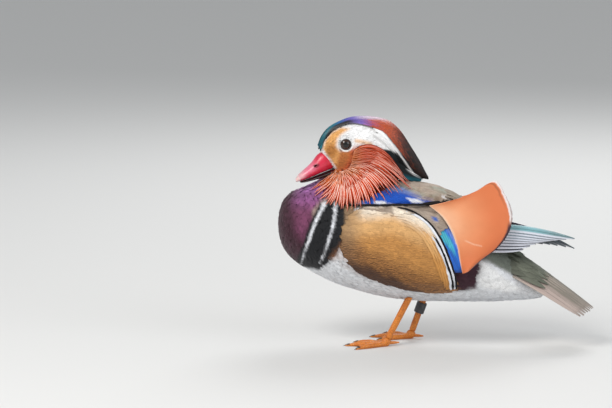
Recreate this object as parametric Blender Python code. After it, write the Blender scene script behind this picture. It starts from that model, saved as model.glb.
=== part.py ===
# A mandarin drake standing at rest, life size, in metres with +Z up.
# It faces -X with its head turned a little to its left, which is -Y. The origin is on the floor
# under the middle of its bounding box. Tables of sizes are in millimetres and are scaled by MM.

import math
import random

import bmesh
import bpy
import numpy as np
from mathutils import Matrix, Vector
from mathutils.bvhtree import BVHTree

MM = 0.001
GAP = 0.3  # between pieces that touch
LEFT, RIGHT = -1, 1  # the sign of Y on each side

# Driving sizes of the whole bird
HEAD_YAW = math.radians(12)  # the head's turn to the left
HEAD_PIVOT_X = -68.0  # where the neck turns
TARSUS_RADIUS = 3.3
EYE_RADIUS = 6.6
FLOOR_Z = 0.0

# Torso: x, lowest z, highest z, half width, level of the widest point
TORSO_STATIONS = [
    (-149.0, 106.0, 121.0, 6.0, 113.5),
    (-146.8, 96.0, 131.0, 14.0, 113.0),
    (-142.5, 87.0, 139.0, 21.5, 112.0),
    (-133.0, 77.0, 146.5, 30.0, 109.0),
    (-117.0, 67.5, 150.5, 38.0, 104.0),
    (-98.0, 58.0, 153.0, 43.5, 99.0),
    (-76.0, 51.0, 154.0, 46.5, 96.0),
    (-50.0, 44.5, 153.5, 48.5, 94.0),
    (-22.0, 41.0, 152.0, 49.0, 92.0),
    (5.0, 40.5, 147.0, 47.5, 90.0),
    (24.0, 40.5, 136.5, 43.5, 87.0),
    (43.0, 40.5, 119.0, 37.0, 81.0),
    (60.0, 41.0, 99.0, 29.0, 73.0),
    (76.0, 42.0, 85.0, 21.0, 64.0),
    (90.0, 43.0, 69.0, 14.0, 55.0),
    (101.0, 44.5, 56.0, 7.0, 50.0),
]
TORSO_FRONT = (-149.4, 0.0, 113.5)
TORSO_BACK = (105.0, 0.0, 48.5)
TORSO_RINGS, TORSO_SIDES = 28, 26
LAYER_RINGS, LAYER_SIDES, OUTLINE_POINTS = 26, 26, 22
MIDLINE_GAP = 0.2  # from the middle to each side's own pieces

# Head without its crest: the same columns, before the head is turned
HEAD_STATIONS = [
    (-111.0, 182.5, 191.5, 5.0, 186.5),
    (-107.0, 178.0, 197.5, 10.0, 187.0),
    (-101.5, 171.0, 203.0, 14.5, 187.0),
    (-95.0, 164.5, 207.5, 17.3, 187.0),
    (-87.0, 160.0, 210.5, 19.5, 187.0),
    (-75.0, 157.5, 213.0, 21.0, 187.0),
    (-62.0, 157.5, 212.5, 21.0, 186.0),
    (-50.0, 160.0, 207.0, 19.0, 183.5),
    (-40.0, 164.5, 197.5, 15.0, 180.0),
    (-32.0, 170.0, 187.0, 9.0, 178.0),
]
HEAD_FRONT = (-112.3, 0.0, 187.0)
HEAD_BACK = (-28.5, 0.0, 178.0)
HEAD_RINGS, HEAD_SIDES = 18, 22

# Neck: z, foremost x, hindmost x, half width
NECK_STATIONS = [
    (118.0, -134.0, -44.0, 34.0),
    (130.0, -136.0, -42.0, 35.0),
    (140.0, -134.5, -40.0, 34.0),
    (148.0, -128.0, -38.5, 31.5),
    (154.0, -115.0, -38.0, 28.5),
    (160.0, -101.0, -38.0, 25.5),
    (168.0, -95.0, -40.0, 21.5),
    (178.0, -90.0, -45.0, 16.0),
]
NECK_RINGS, NECK_SIDES = 8, 16

# The bill, along the mouth line from the gape: distance, top, bottom, half width
BILL_PITCH = math.radians(-22)
BILL_GAPE = (-99.0, 166.5)
BILL_UPPER_STATIONS = [
    (-4.0, 19.0, 0.0, 7.0),
    (2.0, 18.8, 0.0, 8.0),
    (6.0, 18.2, 0.1, 8.1),
    (10.0, 16.2, 0.2, 7.9),
    (14.0, 13.4, 0.2, 7.6),
    (19.0, 10.8, 0.2, 7.3),
    (24.0, 8.4, 0.3, 6.9),
    (28.5, 6.2, 0.2, 5.9),
    (32.5, 3.8, -0.4, 4.0),
    (35.2, 1.6, -0.9, 1.7),
]
BILL_LOWER_STATIONS = [
    (-9.0, -0.5, -5.6, 5.6),
    (-2.0, -0.4, -5.6, 6.2),
    (6.0, -0.3, -5.0, 6.4),
    (14.0, -0.2, -4.1, 6.2),
    (22.0, -0.15, -3.2, 5.5),
    (28.0, -0.3, -2.6, 4.4),
    (32.0, -1.0, -2.2, 2.2),
]
BILL_RINGS, BILL_SIDES = 12, 16
NOSTRIL = (12.5, 9.5)  # distance and height on the upper bill
NOSTRIL_LENGTH, NOSTRIL_HEIGHT, NOSTRIL_DEPTH, NOSTRIL_OUT = 5.2, 2.2, 2.0, 5.6

# Eye: x, distance from the head's middle, z
EYE_CENTRE = (-87.4, 14.9, 191.6)
LID_RADIUS, LID_THICKNESS = 5.7, 1.0
LID_OUT = 4.0  # from the eye's centre out to the ring of lids
LID_FORWARD = math.radians(8)

# Side views of the layers of plumage on the torso: corners of x and z
FLANK_CORNERS = [
    (-89.3, 112.0),
    (-86.5, 125.0),
    (-75.0, 132.0),
    (-57.0, 132.5),
    (-35.2, 129.5),
    (-19.0, 122.5),
    (-6.7, 112.0),
    (3.0, 98.5),
    (10.5, 84.0),
    (16.5, 69.0),
    (19.0, 56.5),
    (-4.8, 52.5),
    (-33.3, 57.0),
    (-61.8, 67.0),
    (-80.8, 79.0),
    (-89.5, 95.0),
]
FLANK_FRONT_EDGE, FLANK_BACK_EDGE, FLANK_DEPTH, FLANK_RAMP = 1.0, 4.2, 6.9, 15.0
FLANK_TURN_X, FLANK_TURN_Z, FLANK_TURN_WIDTH = -45.0, 95.0, 25.0  # where its edge turns thick
WING_CORNERS = [
    (-52.0, 129.0),
    (-50.0, 135.5),
    (-30.0, 138.0),
    (3.0, 138.5),
    (22.0, 136.0),
    (40.0, 119.0),
    (44.0, 99.0),
    (37.0, 80.0),
    (28.0, 63.0),
    (19.0, 62.0),
    (10.0, 73.0),
    (3.0, 86.0),
    (-6.0, 99.0),
    (-17.0, 111.0),
    (-30.0, 119.5),
]
WING_DEPTH = 3.4  # over the torso, with its vanes
WING_SLAB = 1.6  # under its vanes
# Tiers of vanes on the folded wing: first and last root and tip, as x and z, count and half width
WING_TIERS = [
    ((-46.0, 130.0), (-40.0, 134.0), (-18.0, 121.0), (-12.0, 131.0), 2, 5.2),
    ((-25.0, 122.0), (-16.0, 131.0), (2.0, 102.0), (9.0, 117.0), 3, 5.0),
    ((-1.0, 108.0), (9.0, 117.0), (21.0, 66.0), (29.5, 69.0), 3, 3.7),
]
SCAPULAR_CORNERS = [
    (-80.0, 138.0),
    (-55.0, 133.5),
    (-20.0, 132.5),
    (4.0, 133.5),
    (18.0, 132.5),
    (32.0, 124.0),
    (41.0, 122.0),
    (38.0, 142.0),
    (14.0, 158.0),
    (-25.0, 168.0),
    (-70.0, 168.0),
    (-82.0, 155.0),
]
SCAPULAR_EDGE, SCAPULAR_DEPTH = 2.0, 3.2
SCAPULAR_VANE_ROOM = 1.4
# Tiers of scapulars: as above, but as x and degrees round the body, up from its side
SCAPULAR_TIERS = [
    ((-66.0, 57.0), (-54.0, 80.0), (-22.0, 56.0), (-12.0, 79.0), 3, 6.8),
    ((-38.0, 58.0), (-28.0, 78.0), (6.0, 56.0), (13.0, 77.0), 3, 6.4),
    ((-8.0, 59.0), (0.0, 76.0), (34.0, 57.0), (43.0, 75.0), 2, 6.2),
]

# Vanes that lie on a body form: where their sections fall, how wide, and how deep the root is sunk
VANE_SHARES = (0.0, 0.4, 0.8, 1.0)
VANE_WIDTHS = (0.6, 1.0, 0.8)
VANE_SUNK, VANE_LIFT = -1.2, 0.9
EMERGING = 3.0  # a vane is clear of what it grows from after this part of its length: 1 / 3

# Ruff: where its hackles start and end, from the throat round to the nape, in x and z
RUFF_ROOTS = [
    (-97.0, 164.5),
    (-92.5, 168.5),
    (-87.5, 172.0),
    (-81.0, 175.0),
    (-73.0, 178.5),
    (-64.0, 181.5),
    (-55.0, 183.0),
]
RUFF_TIPS = [
    (-119.0, 146.5),
    (-107.5, 135.5),
    (-90.5, 128.5),
    (-73.0, 131.0),
    (-56.0, 137.0),
    (-39.0, 143.5),
    (-26.0, 149.5),
]

RUFF_SUNK, RUFF_LIFT, RUFF_BULGE, RUFF_THICKNESS = 2.0, 1.8, 2.0, 1.8
RUFF_CORE_REACH = 0.42  # of the hackles' length
RUFF_FREE_FROM = 0.15  # where a hackle has come out of the head
# Layers of hackles: count, reach, lift over the core, half width
RUFF_LAYERS = [(8, 1.0, 0.2, 5.4), (4, 0.74, 2.0, 5.4)]
RUFF_CORE_COLUMNS, RUFF_CORE_ROWS = 8, 3
RUFF_CORE_MARGIN = 0.02  # of the ruff's arc, left free at each end
RUFF_SHARES, RUFF_WIDTHS = (0.04, 0.4, 0.75, 1.0), (0.6, 1.0, 0.8)
CURVE_STEPS = 60  # in which a table's curve is read

# Sail: the shaft from its root, and the hind margin from the top, as x, y and z of the left one
SAIL_SHAFT = [
    (-4.0, 136.5),
    (8.5, 126.0),
    (17.5, 112.0),
    (22.5, 97.5),
    (25.5, 84.0),
    (28.0, 74.0),
]
SAIL_MARGIN = [
    (26.0, -37.0, 144.0),
    (42.0, -30.0, 151.0),
    (57.5, -23.0, 159.0),
    (67.0, -25.0, 145.5),
    (72.5, -29.0, 129.5),
    (71.5, -33.5, 113.5),
    (61.0, -38.5, 98.5),
    (47.0, -43.0, 88.0),
    (34.5, -46.5, 77.5),
]

SAIL_SUNK, SAIL_BULGE, SAIL_THICKNESS = 0.4, 4.0, 1.2
SAIL_DROPS = {LEFT: 0.0, RIGHT: 12.0}  # how much lower each sail's top is folded than the table's
SAIL_CLEAR, SAIL_ROOM = 0.7, 0.5  # the wing keeps this far from its edges and its faces

# Tail: feathers in a fan that is arched like a roof. Root, middle and tip of its ridge, as x and z
TAIL_FEATHERS = 10
TAIL_ROOT, TAIL_MIDDLE, TAIL_TIP = (58.0, 94.0), (92.0, 76.0), (149.0, 34.0)
TAIL_ROOT_SPREAD, TAIL_TIP_SPREAD = 13.0, 34.0
TAIL_ROOT_DROP, TAIL_TIP_DROP = 22.0, 3.0
TAIL_OUTER_SHORTER = 11.0
TAIL_SHARES = (0.0, 0.3, 0.62, 0.91, 1.0)
TAIL_WIDTHS = (1.8, 3.8, 5.0, 4.6)
TAIL_STEP = 0.28  # each feather's rise over the next one out

# Primaries of the folded wing: root and tips, as x, distance from the middle, z
PRIMARY_ROOT = (32.0, 29.0, 112.0)
PRIMARY_ROOT_STEP = (-1.2, 1.6, -3.2)  # from each root to the next
PRIMARY_TILT = 0.8  # outward slope of the blades
PRIMARY_ARCH = 2.5
PRIMARY_DROPS = {LEFT: 0.0, RIGHT: 11.0}  # how much lower the tips of each wing's blades hang
PRIMARY_SHARES = (0.0, 0.3, 0.6, 0.9, 1.0)
PRIMARY_WIDTHS = (3.0, 5.2, 5.4, 4.0)
PRIMARY_TIPS = [
    (132.0, 6.0, 102.0),
    (115.0, 10.0, 101.5),
    (104.0, 13.5, 101.5),
    (95.0, 17.0, 99.0),
    (87.0, 20.5, 95.0),
]
VANE_HALF_THICKNESS = 0.4

# Crest: upright sections from the crown to the tip over the back, as for the head
CREST_STATIONS = [
    (-111.5, 184.5, 190.5, 3.0, 187.0),
    (-108.0, 188.0, 198.0, 5.5, 192.0),
    (-101.0, 196.0, 206.5, 8.5, 200.0),
    (-92.0, 199.0, 212.0, 11.5, 204.0),
    (-80.0, 198.0, 216.3, 15.5, 205.0),
    (-66.0, 192.0, 217.0, 19.5, 203.0),
    (-53.0, 182.0, 215.5, 20.5, 199.0),
    (-42.0, 174.0, 211.5, 19.0, 194.0),
    (-32.0, 167.0, 202.0, 15.5, 186.0),
    (-23.0, 160.5, 188.0, 11.5, 176.0),
    (-15.0, 156.5, 175.5, 7.5, 166.0),
    (-9.0, 154.0, 164.5, 4.0, 159.0),
]
CREST_RINGS, CREST_SIDES = 20, 16
CREST_CORE_STATIONS = 9  # of the rows above, so that the core stops half way to the tips
CREST_CORE_INSET = 2.6
CREST_CORE_RINGS, CREST_CORE_SIDES = 11, 12
# Tiers of locks: x of root and tip, count, and how far over level the lowest lie, in half turns
CREST_TIERS = [(-96.0, -46.0, 5, 0.02), (-72.0, -25.0, 4, 0.02), (-52.0, -7.5, 5, -0.25)]
CREST_SEED = 4
CREST_SUNK, CREST_LIFT = 1.2, 2.4  # of a lock's root in the core, and of its blade from there
CREST_SHARES = (0.0, 0.25, 0.6, 0.88, 1.0)  # where a lock's sections fall
CREST_TAPERS = (0.3, 0.45, 0.46, 0.36, 0.0)  # half width, of the room that each lock has
CREST_RAMP = 26.0
CREST_CORE_FRONT, CREST_CORE_BACK = (-112.1, 0.0, 187.0), (-27.0, 0.0, 182.0)
CREST_FRONT = (-112.6, 0.0, 186.5)
CREST_BACK = (-6.0, 0.0, 155.0)

# Legs: ankle and toe joint, as x, distance from the middle, z
LEG_PLACES = {
    LEFT: ((-24.5, 21.0, 44.0), (-44.7, 22.0, 4.4)),
    RIGHT: ((-9.5, 21.0, 44.0), (-23.4, 22.0, 4.4)),
}
LEG_TOP = 8.0  # how far the tarsus runs on into the belly
KNUCKLE_RADIUS = 4.6
TOE_LENGTHS = (35.0, 39.0, 36.0)  # inner, middle, outer
TOE_TURNS = (26.0, -5.0, -40.0)  # degrees from straight ahead, outwards being negative
TOE_RADII = (3.6, 2.7, 2.9, 2.3, 0.9)  # from the knuckle over the joints to the claw
TOE_SIDES = 6
TOE_FLAT = 0.2  # how far the floor cuts into the round of a toe
HIND_TOE_LENGTH, HIND_TOE_RADII, HIND_TOE_DROP = 11.0, (1.8, 1.7, 0.8), 1.2
HIND_TOE_BACK, HIND_TOE_TURN = 2.0, 20.0  # behind the toe joint, and degrees inwards
WEB_REACH = 0.82  # of the toes' length
WEB_Z, WEB_HALF_THICKNESS = 1.5, 0.6
WEB_START, WEB_HOLLOW, WEB_ROWS = 0.08, 0.12, 3  # share of the toes; how far its edge draws in
UNDER_FLOOR = [(-200.0, -40.0), (100.0, -40.0), (100.0, FLOOR_Z), (-200.0, FLOOR_Z)]
FLOOR_HALF_WIDTH = 20.0  # past the middle, so that the whole foot is over it

# Ring on the right leg: height of its middle, length, radius
RING_Z, RING_LENGTH, RING_RADIUS = 30.5, 10.5, 4.9


def smooth_rows(rows, count):
    """Rows of numbers read at even steps along a smooth curve through the given rows."""
    rows = np.array(rows, float)
    slopes = np.gradient(rows, axis=0)
    places = np.linspace(0, len(rows) - 1, count)
    i = np.minimum(places.astype(int), len(rows) - 2)
    t = (places - i)[:, None]
    return (
        (2 * t**3 - 3 * t**2 + 1) * rows[i]
        + (t**3 - 2 * t**2 + t) * slopes[i]
        + (3 * t**2 - 2 * t**3) * rows[i + 1]
        + (t**3 - t**2) * slopes[i + 1]
    )


def oval(low, high, half_width, level, sides):
    """The outline of an upright section, fuller above or below the level of its widest point."""
    turn = np.arange(sides) * 2 * math.pi / sides
    across, up = np.cos(turn), np.sin(turn)
    height = np.where(up > 0, high - level, level - low)
    return np.column_stack([half_width * across, level + height * up])


def new_object(name, points, faces):
    """A mesh object from points in millimetres, with its faces turned outwards."""
    mesh = bpy.data.meshes.new(name)
    mesh.from_pydata([Vector(p) * MM for p in points], [], faces)
    made = bmesh.new()
    made.from_mesh(mesh)
    bmesh.ops.recalc_face_normals(made, faces=made.faces)
    if made.calc_volume(signed=True) < 0:
        bmesh.ops.reverse_faces(made, faces=made.faces)
    made.to_mesh(mesh)
    made.free()
    mesh.shade_smooth()
    obj = bpy.data.objects.new(name, mesh)
    bpy.context.scene.collection.objects.link(obj)
    return obj


def loft(name, rings, first=None, last=None):
    """A closed surface through rings of points. A missing end point gives a flat end."""
    count, sides = rings.shape[:2]
    points = [tuple(p) for p in rings.reshape(-1, 3)]
    faces = []
    for ring in range(count - 1):
        for side in range(sides):
            a, b = ring * sides + side, ring * sides + (side + 1) % sides
            faces.append((a, b, b + sides, a + sides))
    for end, point in ((0, first), (count - 1, last)):
        around = [end * sides + side for side in range(sides)]
        if point is None:
            faces.append(tuple(around))
            continue
        points.append(tuple(point))
        tip = len(points) - 1
        faces += [(around[k], around[(k + 1) % sides], tip) for k in range(sides)]
    return new_object(name, points, faces)


def upright_loft(name, stations, rings, sides, first, last):
    """A body form from upright sections that follow one another along X."""
    outline = []
    for x, low, high, half_width, level in smooth_rows(stations, rings):
        flat = oval(low, high, half_width, level, sides)
        outline.append(np.column_stack([np.full(sides, x), flat]))
    return loft(name, np.array(outline), first, last)


def mesh_of(obj):
    made = bmesh.new()
    made.from_mesh(obj.data)
    return made


def put_mesh(obj, made):
    made.to_mesh(obj.data)
    made.free()
    obj.data.update()


def grown(obj, margin):
    """A copy of a smooth form, moved out along its normals by a margin in millimetres."""
    copy = obj.copy()
    copy.data = obj.data.copy()
    copy.name = obj.name + "_grown"
    bpy.context.scene.collection.objects.link(copy)
    made = mesh_of(copy)
    made.normal_update()
    for vertex in made.verts:
        vertex.co += vertex.normal * margin * MM
    put_mesh(copy, made)
    return copy


def largest_only(obj):
    """Leaves the node's largest closed surface."""
    made = mesh_of(obj)
    bmesh.ops.remove_doubles(made, verts=made.verts, dist=1e-7)
    unseen, islands = set(made.faces), []
    while unseen:
        stack = [unseen.pop()]
        island = []
        while stack:
            face = stack.pop()
            island.append(face)
            for edge in face.edges:
                for other in edge.link_faces:
                    if other in unseen:
                        unseen.discard(other)
                        stack.append(other)
        islands.append(island)
    sizes = [sum(face.calc_area() for face in island) for island in islands]
    keep = sizes.index(max(sizes))
    spare = [face for k, island in enumerate(islands) if k != keep for face in island]
    bmesh.ops.delete(made, geom=spare, context="FACES")
    put_mesh(obj, made)
    return obj


def combine(obj, others, operation):
    """One Boolean of a node with a group of closed forms, which are then removed."""
    group = bpy.data.collections.new("forms")
    for other in others:
        group.objects.link(other)
        if other.name not in bpy.context.scene.collection.objects:
            bpy.context.scene.collection.objects.link(other)
    step = obj.modifiers.new("combine", "BOOLEAN")
    step.operation = operation
    step.solver = "MANIFOLD"
    step.operand_type = "COLLECTION"
    step.collection = group
    bpy.context.view_layer.update()
    graph = bpy.context.evaluated_depsgraph_get()
    made = bpy.data.meshes.new_from_object(obj.evaluated_get(graph))
    obj.modifiers.clear()
    obj.data = made
    for other in others:
        bpy.data.objects.remove(other)
    bpy.data.collections.remove(group)
    return largest_only(obj)


def cut_by(obj, *forms):
    """Cuts a node clear of the smooth forms it lies on."""
    return combine(obj, [grown(form, GAP) for form in forms], "DIFFERENCE")


def turn_head(points):
    """Turns points of the head to the bird's left about its neck."""
    points = np.array(points, float)
    x, y = points[..., 0] - HEAD_PIVOT_X, points[..., 1]
    cos, sin = math.cos(HEAD_YAW), math.sin(HEAD_YAW)
    turned = points.copy()
    turned[..., 0] = HEAD_PIVOT_X + x * cos - y * sin
    turned[..., 1] = x * sin + y * cos
    return turned


def move_points(obj, rule):
    """Passes every point of a mesh, in millimetres, through a rule."""
    points = np.array([v.co for v in obj.data.vertices]) / MM
    for vertex, point in zip(obj.data.vertices, rule(points)):
        vertex.co = Vector(point) * MM
    obj.data.update()
    return obj


def prism(name, outline, side, nearest, farthest=90.0):
    """A side-view outline of x and z, carried through one side of the body."""
    near = [(x, side * nearest, z) for x, z in outline]
    far = [(x, side * farthest, z) for x, z in outline]
    return loft(name, np.array([near, far], float))


def closed_curve(corners, count):
    """A smooth closed outline of x and z through a few corners."""
    corners = np.array(corners, float)
    wrapped = np.vstack([corners[-3:], corners, corners[:3]])
    steps = smooth_rows(wrapped, (len(wrapped) - 1) * 8 + 1)
    whole = steps[3 * 8 : 3 * 8 + len(corners) * 8]
    return whole[np.linspace(0, len(whole), count, endpoint=False).astype(int)]


def widened(outline, margin):
    """A closed outline, moved outwards by a margin."""
    run = np.roll(outline, -1, axis=0) - np.roll(outline, 1, axis=0)
    square = np.column_stack([run[:, 1], -run[:, 0]]) / np.linalg.norm(run, axis=1)[:, None]
    turns = outline[:, 0] @ np.roll(outline[:, 1], -1) - outline[:, 1] @ np.roll(outline[:, 0], -1)
    return outline + square * math.copysign(margin, turns)


def inside_distance(outline, points):
    """How far points of x and z lie inside a closed outline, negative outside."""
    start, end = outline, np.roll(outline, -1, axis=0)
    run = end - start
    offset = points[:, None, :] - start
    share = np.clip((offset * run).sum(2) / (run * run).sum(1), 0, 1)
    nearest = np.linalg.norm(offset - share[..., None] * run, axis=2).min(1)
    crosses = (start[:, 1] > points[:, None, 1]) != (end[:, 1] > points[:, None, 1])
    slope = np.where(run[:, 1] == 0, 1e-9, run[:, 1])
    at = start[:, 0] + (points[:, None, 1] - start[:, 1]) * run[:, 0] / slope
    inside = (crosses & (points[:, None, 0] < at)).sum(1) % 2 == 1
    return np.where(inside, nearest, -nearest)


def eased(value):
    """0 to 1, leaving and arriving level."""
    share = np.clip(value, 0.0, 1.0)
    return share * share * (3 - 2 * share)


def raised(name, corners, side, lift_rule, margin=0.0):
    """A layer of plumage on one side of the torso, within a side-view outline.

    Its outer face is the torso's, lifted by a rule of the place and of the distance inside the outline.
    """
    outline = closed_curve(corners, OUTLINE_POINTS)
    layer = upright_loft(name, TORSO_STATIONS, LAYER_RINGS, LAYER_SIDES, TORSO_FRONT, TORSO_BACK)
    made = mesh_of(layer)
    made.normal_update()
    flat = np.array([(v.co.x, v.co.z) for v in made.verts]) / MM
    lift = lift_rule(flat, inside_distance(outline, flat)) + margin
    for vertex, rise in zip(made.verts, lift):
        vertex.co += vertex.normal * rise * MM
    put_mesh(layer, made)
    window = prism("window", widened(outline, margin), side, MIDLINE_GAP)
    return combine(layer, [window], "INTERSECT")


def coloured(obj, colour, roughness, metallic=0.0):
    material = bpy.data.materials.new(obj.name)
    material.use_nodes = True
    shader = material.node_tree.nodes["Principled BSDF"]
    shader.inputs["Base Color"].default_value = (*colour, 1.0)
    shader.inputs["Roughness"].default_value = roughness
    shader.inputs["Metallic"].default_value = metallic
    obj.data.materials.clear()
    obj.data.materials.append(material)
    return obj


def torso_form():
    return upright_loft("torso", TORSO_STATIONS, TORSO_RINGS, TORSO_SIDES, TORSO_FRONT, TORSO_BACK)


def head_form():
    head = upright_loft("head", HEAD_STATIONS, HEAD_RINGS, HEAD_SIDES, HEAD_FRONT, HEAD_BACK)
    return move_points(head, turn_head)


def crest_form():
    crest = upright_loft(
        "crest", CREST_STATIONS, CREST_RINGS, CREST_SIDES, CREST_FRONT, CREST_BACK
    )
    return move_points(crest, turn_head)


def neck_form():
    turn = np.arange(NECK_SIDES) * 2 * math.pi / NECK_SIDES
    rings = []
    for z, front, back, half_width in smooth_rows(NECK_STATIONS, NECK_RINGS):
        x = (front + back) / 2 + (back - front) / 2 * np.cos(turn)
        rings.append(np.column_stack([x, half_width * np.sin(turn), np.full(NECK_SIDES, z)]))
    return loft("neck", np.array(rings))


def bill_form(name, stations, rings):
    """One mandible, from sections square to the mouth line."""
    ahead = np.array([-math.cos(BILL_PITCH), 0.0, math.sin(BILL_PITCH)])
    up = np.array([math.sin(BILL_PITCH), 0.0, math.cos(BILL_PITCH)])
    gape = np.array([BILL_GAPE[0], 0.0, BILL_GAPE[1]])
    outline = []
    for along, top, bottom, half_width in smooth_rows(stations, rings):
        level = bottom + 0.3 * (top - bottom)
        flat = oval(bottom, top, half_width, level, BILL_SIDES)
        across = np.outer(flat[:, 0], [0.0, 1.0, 0.0])
        outline.append(gape + ahead * along + across + np.outer(flat[:, 1], up))
    return move_points(loft(name, np.array(outline)), turn_head)


def nostril_form(side):
    """An oval pit on one side of the upper bill."""
    ahead = np.array([-math.cos(BILL_PITCH), 0.0, math.sin(BILL_PITCH)])
    up = np.array([math.sin(BILL_PITCH), 0.0, math.cos(BILL_PITCH)])
    centre = np.array([BILL_GAPE[0], 0.0, BILL_GAPE[1]]) + ahead * NOSTRIL[0] + up * NOSTRIL[1]
    pit = ball("nostril", (0, 0, 0), 1.0, 8, 5)
    scale = np.array([NOSTRIL_LENGTH / 2, NOSTRIL_DEPTH, NOSTRIL_HEIGHT / 2])
    frame = np.array([ahead, [0.0, 1.0, 0.0], up])

    def placed(points):
        return turn_head((points * scale) @ frame + centre + np.array([0, side * NOSTRIL_OUT, 0]))

    return move_points(pit, placed)


def slab(name, grid, half_thickness):
    """A closed sheet about a grid of points, split into triangles alike on both faces."""
    grid = np.array(grid, float)
    rows, columns = grid.shape[:2]
    along = np.gradient(grid, axis=0)
    across = np.gradient(grid, axis=1)
    normal = np.cross(along, across)
    normal /= np.linalg.norm(normal, axis=2)[..., None]
    half = np.broadcast_to(half_thickness, (rows, columns))[..., None]
    points = np.vstack([(grid + normal * half).reshape(-1, 3), (grid - normal * half).reshape(-1, 3)])
    under = rows * columns
    faces = []
    for row in range(rows - 1):
        for column in range(columns - 1):
            a = row * columns + column
            b, c, d = a + 1, a + columns + 1, a + columns
            faces += [(a, b, c), (a, c, d)]
            faces += [(under + a, under + c, under + b), (under + a, under + d, under + c)]
    rim = [column for column in range(columns)]
    rim += [row * columns + columns - 1 for row in range(1, rows)]
    rim += [(rows - 1) * columns + column for column in range(columns - 2, -1, -1)]
    rim += [row * columns for row in range(rows - 2, 0, -1)]
    for a, b in zip(rim, rim[1:] + rim[:1]):
        faces += [(a, under + a, under + b), (a, under + b, b)]
    return new_object(name, [tuple(p) for p in points], faces)


def surface_of(*objs):
    """A search tree of the outer faces of some forms, in metres."""
    points, faces = [], []
    for obj in objs:
        start = len(points)
        points += [v.co.copy() for v in obj.data.vertices]
        faces += [[start + k for k in polygon.vertices] for polygon in obj.data.polygons]
    return BVHTree.FromPolygons(points, faces)


def side_hit(tree, x, z, side):
    """The outermost place of a surface at a place in the side view, and its normal."""
    start = Vector((x * MM, side * 0.2, z * MM))
    place, normal = tree.ray_cast(start, Vector((0, -side, 0)))[:2]
    if place is None:
        return None, None
    return np.array(place) / MM, np.array(normal)


def side_reach(tree, x, z, side):
    """How far from the middle the outermost surface lies at a place in the side view."""
    place = side_hit(tree, x, z, side)[0]
    return 0.0 if place is None else abs(place[1])


def vane(name, spine, up, half_widths, half_thickness=VANE_HALF_THICKNESS):
    """One feather or flat lock: lens-shaped sections along a spine that ends in a point.

    Its two faces are split into triangles alike.
    """
    spine = np.array(spine, float)
    run = np.gradient(spine, axis=0)
    across = np.cross(run, np.broadcast_to(up, spine.shape))
    across /= np.linalg.norm(across, axis=1)[:, None]
    rise = np.cross(across, run)
    rise /= np.linalg.norm(rise, axis=1)[:, None]
    points, faces = [], []
    for centre, aside, lift, half in zip(spine[:-1], across, rise, half_widths):
        aside, lift = aside * half, lift * half_thickness
        points += [centre - aside, centre + lift, centre + aside, centre - lift]
    for section in range(len(spine) - 2):
        a, b, c, d = (4 * section + k for k in range(4))
        e, f, g, h = (k + 4 for k in (a, b, c, d))
        faces += [(a, b, f), (a, f, e), (c, f, b), (c, g, f), (c, d, h), (c, h, g), (a, e, h), (a, h, d)]
    a, b, c, d = (4 * (len(spine) - 2) + k for k in range(4))
    tip = len(points)
    points.append(spine[-1])
    faces += [(a, b, tip), (b, c, tip), (c, d, tip), (d, a, tip), (0, 2, 1), (0, 3, 2)]
    return new_object(name, [tuple(p) for p in points], faces)


def round_hit(tree, x, degrees, side):
    """The place of a body form's surface at so many degrees up from its side, and its normal."""
    turn = math.radians(degrees)
    outward = Vector((0.0, side * math.cos(turn), math.sin(turn)))
    level = smooth_at(TORSO_STATIONS, x)[3]
    start = Vector((x, 0.0, level)) * MM + outward * 0.2
    place, normal = tree.ray_cast(start, -outward)[:2]
    if place is None:
        return None, None
    return np.array(place) / MM, np.array(normal)


def laid_vane(tree, hit, root, tip, side, half_width, lift):
    """A vane that lies on a body form, from a root sunk in it to a tip."""
    spine, ups = [], []
    for share in VANE_SHARES:
        x, rise = (root[k] + (tip[k] - root[k]) * share for k in (0, 1))
        place, normal = hit(tree, x, rise, side)
        if place is None:
            place, normal = spine[-1] + (spine[-1] - spine[-2]), ups[-1]
        raise_by = VANE_SUNK + (lift - VANE_SUNK) * min(1.0, share * EMERGING)
        spine.append(place + normal * raise_by)
        ups.append(normal)
    widths = [half_width * w for w in VANE_WIDTHS]
    return vane("vane", spine, np.array(ups), widths)


def tier_vanes(tree, hit, tiers, side, lift):
    """All vanes of a table of tiers on one side."""
    vanes = []
    for first_root, last_root, first_tip, last_tip, count, half_width in tiers:
        for share in np.linspace(0, 1, count):
            root = np.array(first_root) + (np.array(last_root) - np.array(first_root)) * share
            tip = np.array(first_tip) + (np.array(last_tip) - np.array(first_tip)) * share
            vanes.append(laid_vane(tree, hit, root, tip, side, half_width, lift))
    return vanes


def trimmed(forms, corners, side):
    """Forms cut to the side-view outline of a layer of plumage."""
    outline = closed_curve(corners, OUTLINE_POINTS)
    cuts = []
    for form in forms:
        cuts.append(combine(form, [prism("window", outline, side, MIDLINE_GAP)], "INTERSECT"))
    return cuts


def flank_lift(flat, inside):
    """Thin where the flank runs into the breast and belly, thick where it lies over the wing."""
    over_wing = eased((flat[:, 0] + 1.2 * (flat[:, 1] - FLANK_TURN_Z) - FLANK_TURN_X) / FLANK_TURN_WIDTH)
    edge = FLANK_FRONT_EDGE + (FLANK_BACK_EDGE - FLANK_FRONT_EDGE) * over_wing
    return edge + (FLANK_DEPTH - edge) * eased(inside / FLANK_RAMP)


def wing_lift(flat, inside):
    return np.full(len(flat), WING_SLAB)


def scapular_lift(flat, inside):
    return SCAPULAR_EDGE + (SCAPULAR_DEPTH - SCAPULAR_EDGE) * eased(inside / 12)


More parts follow.
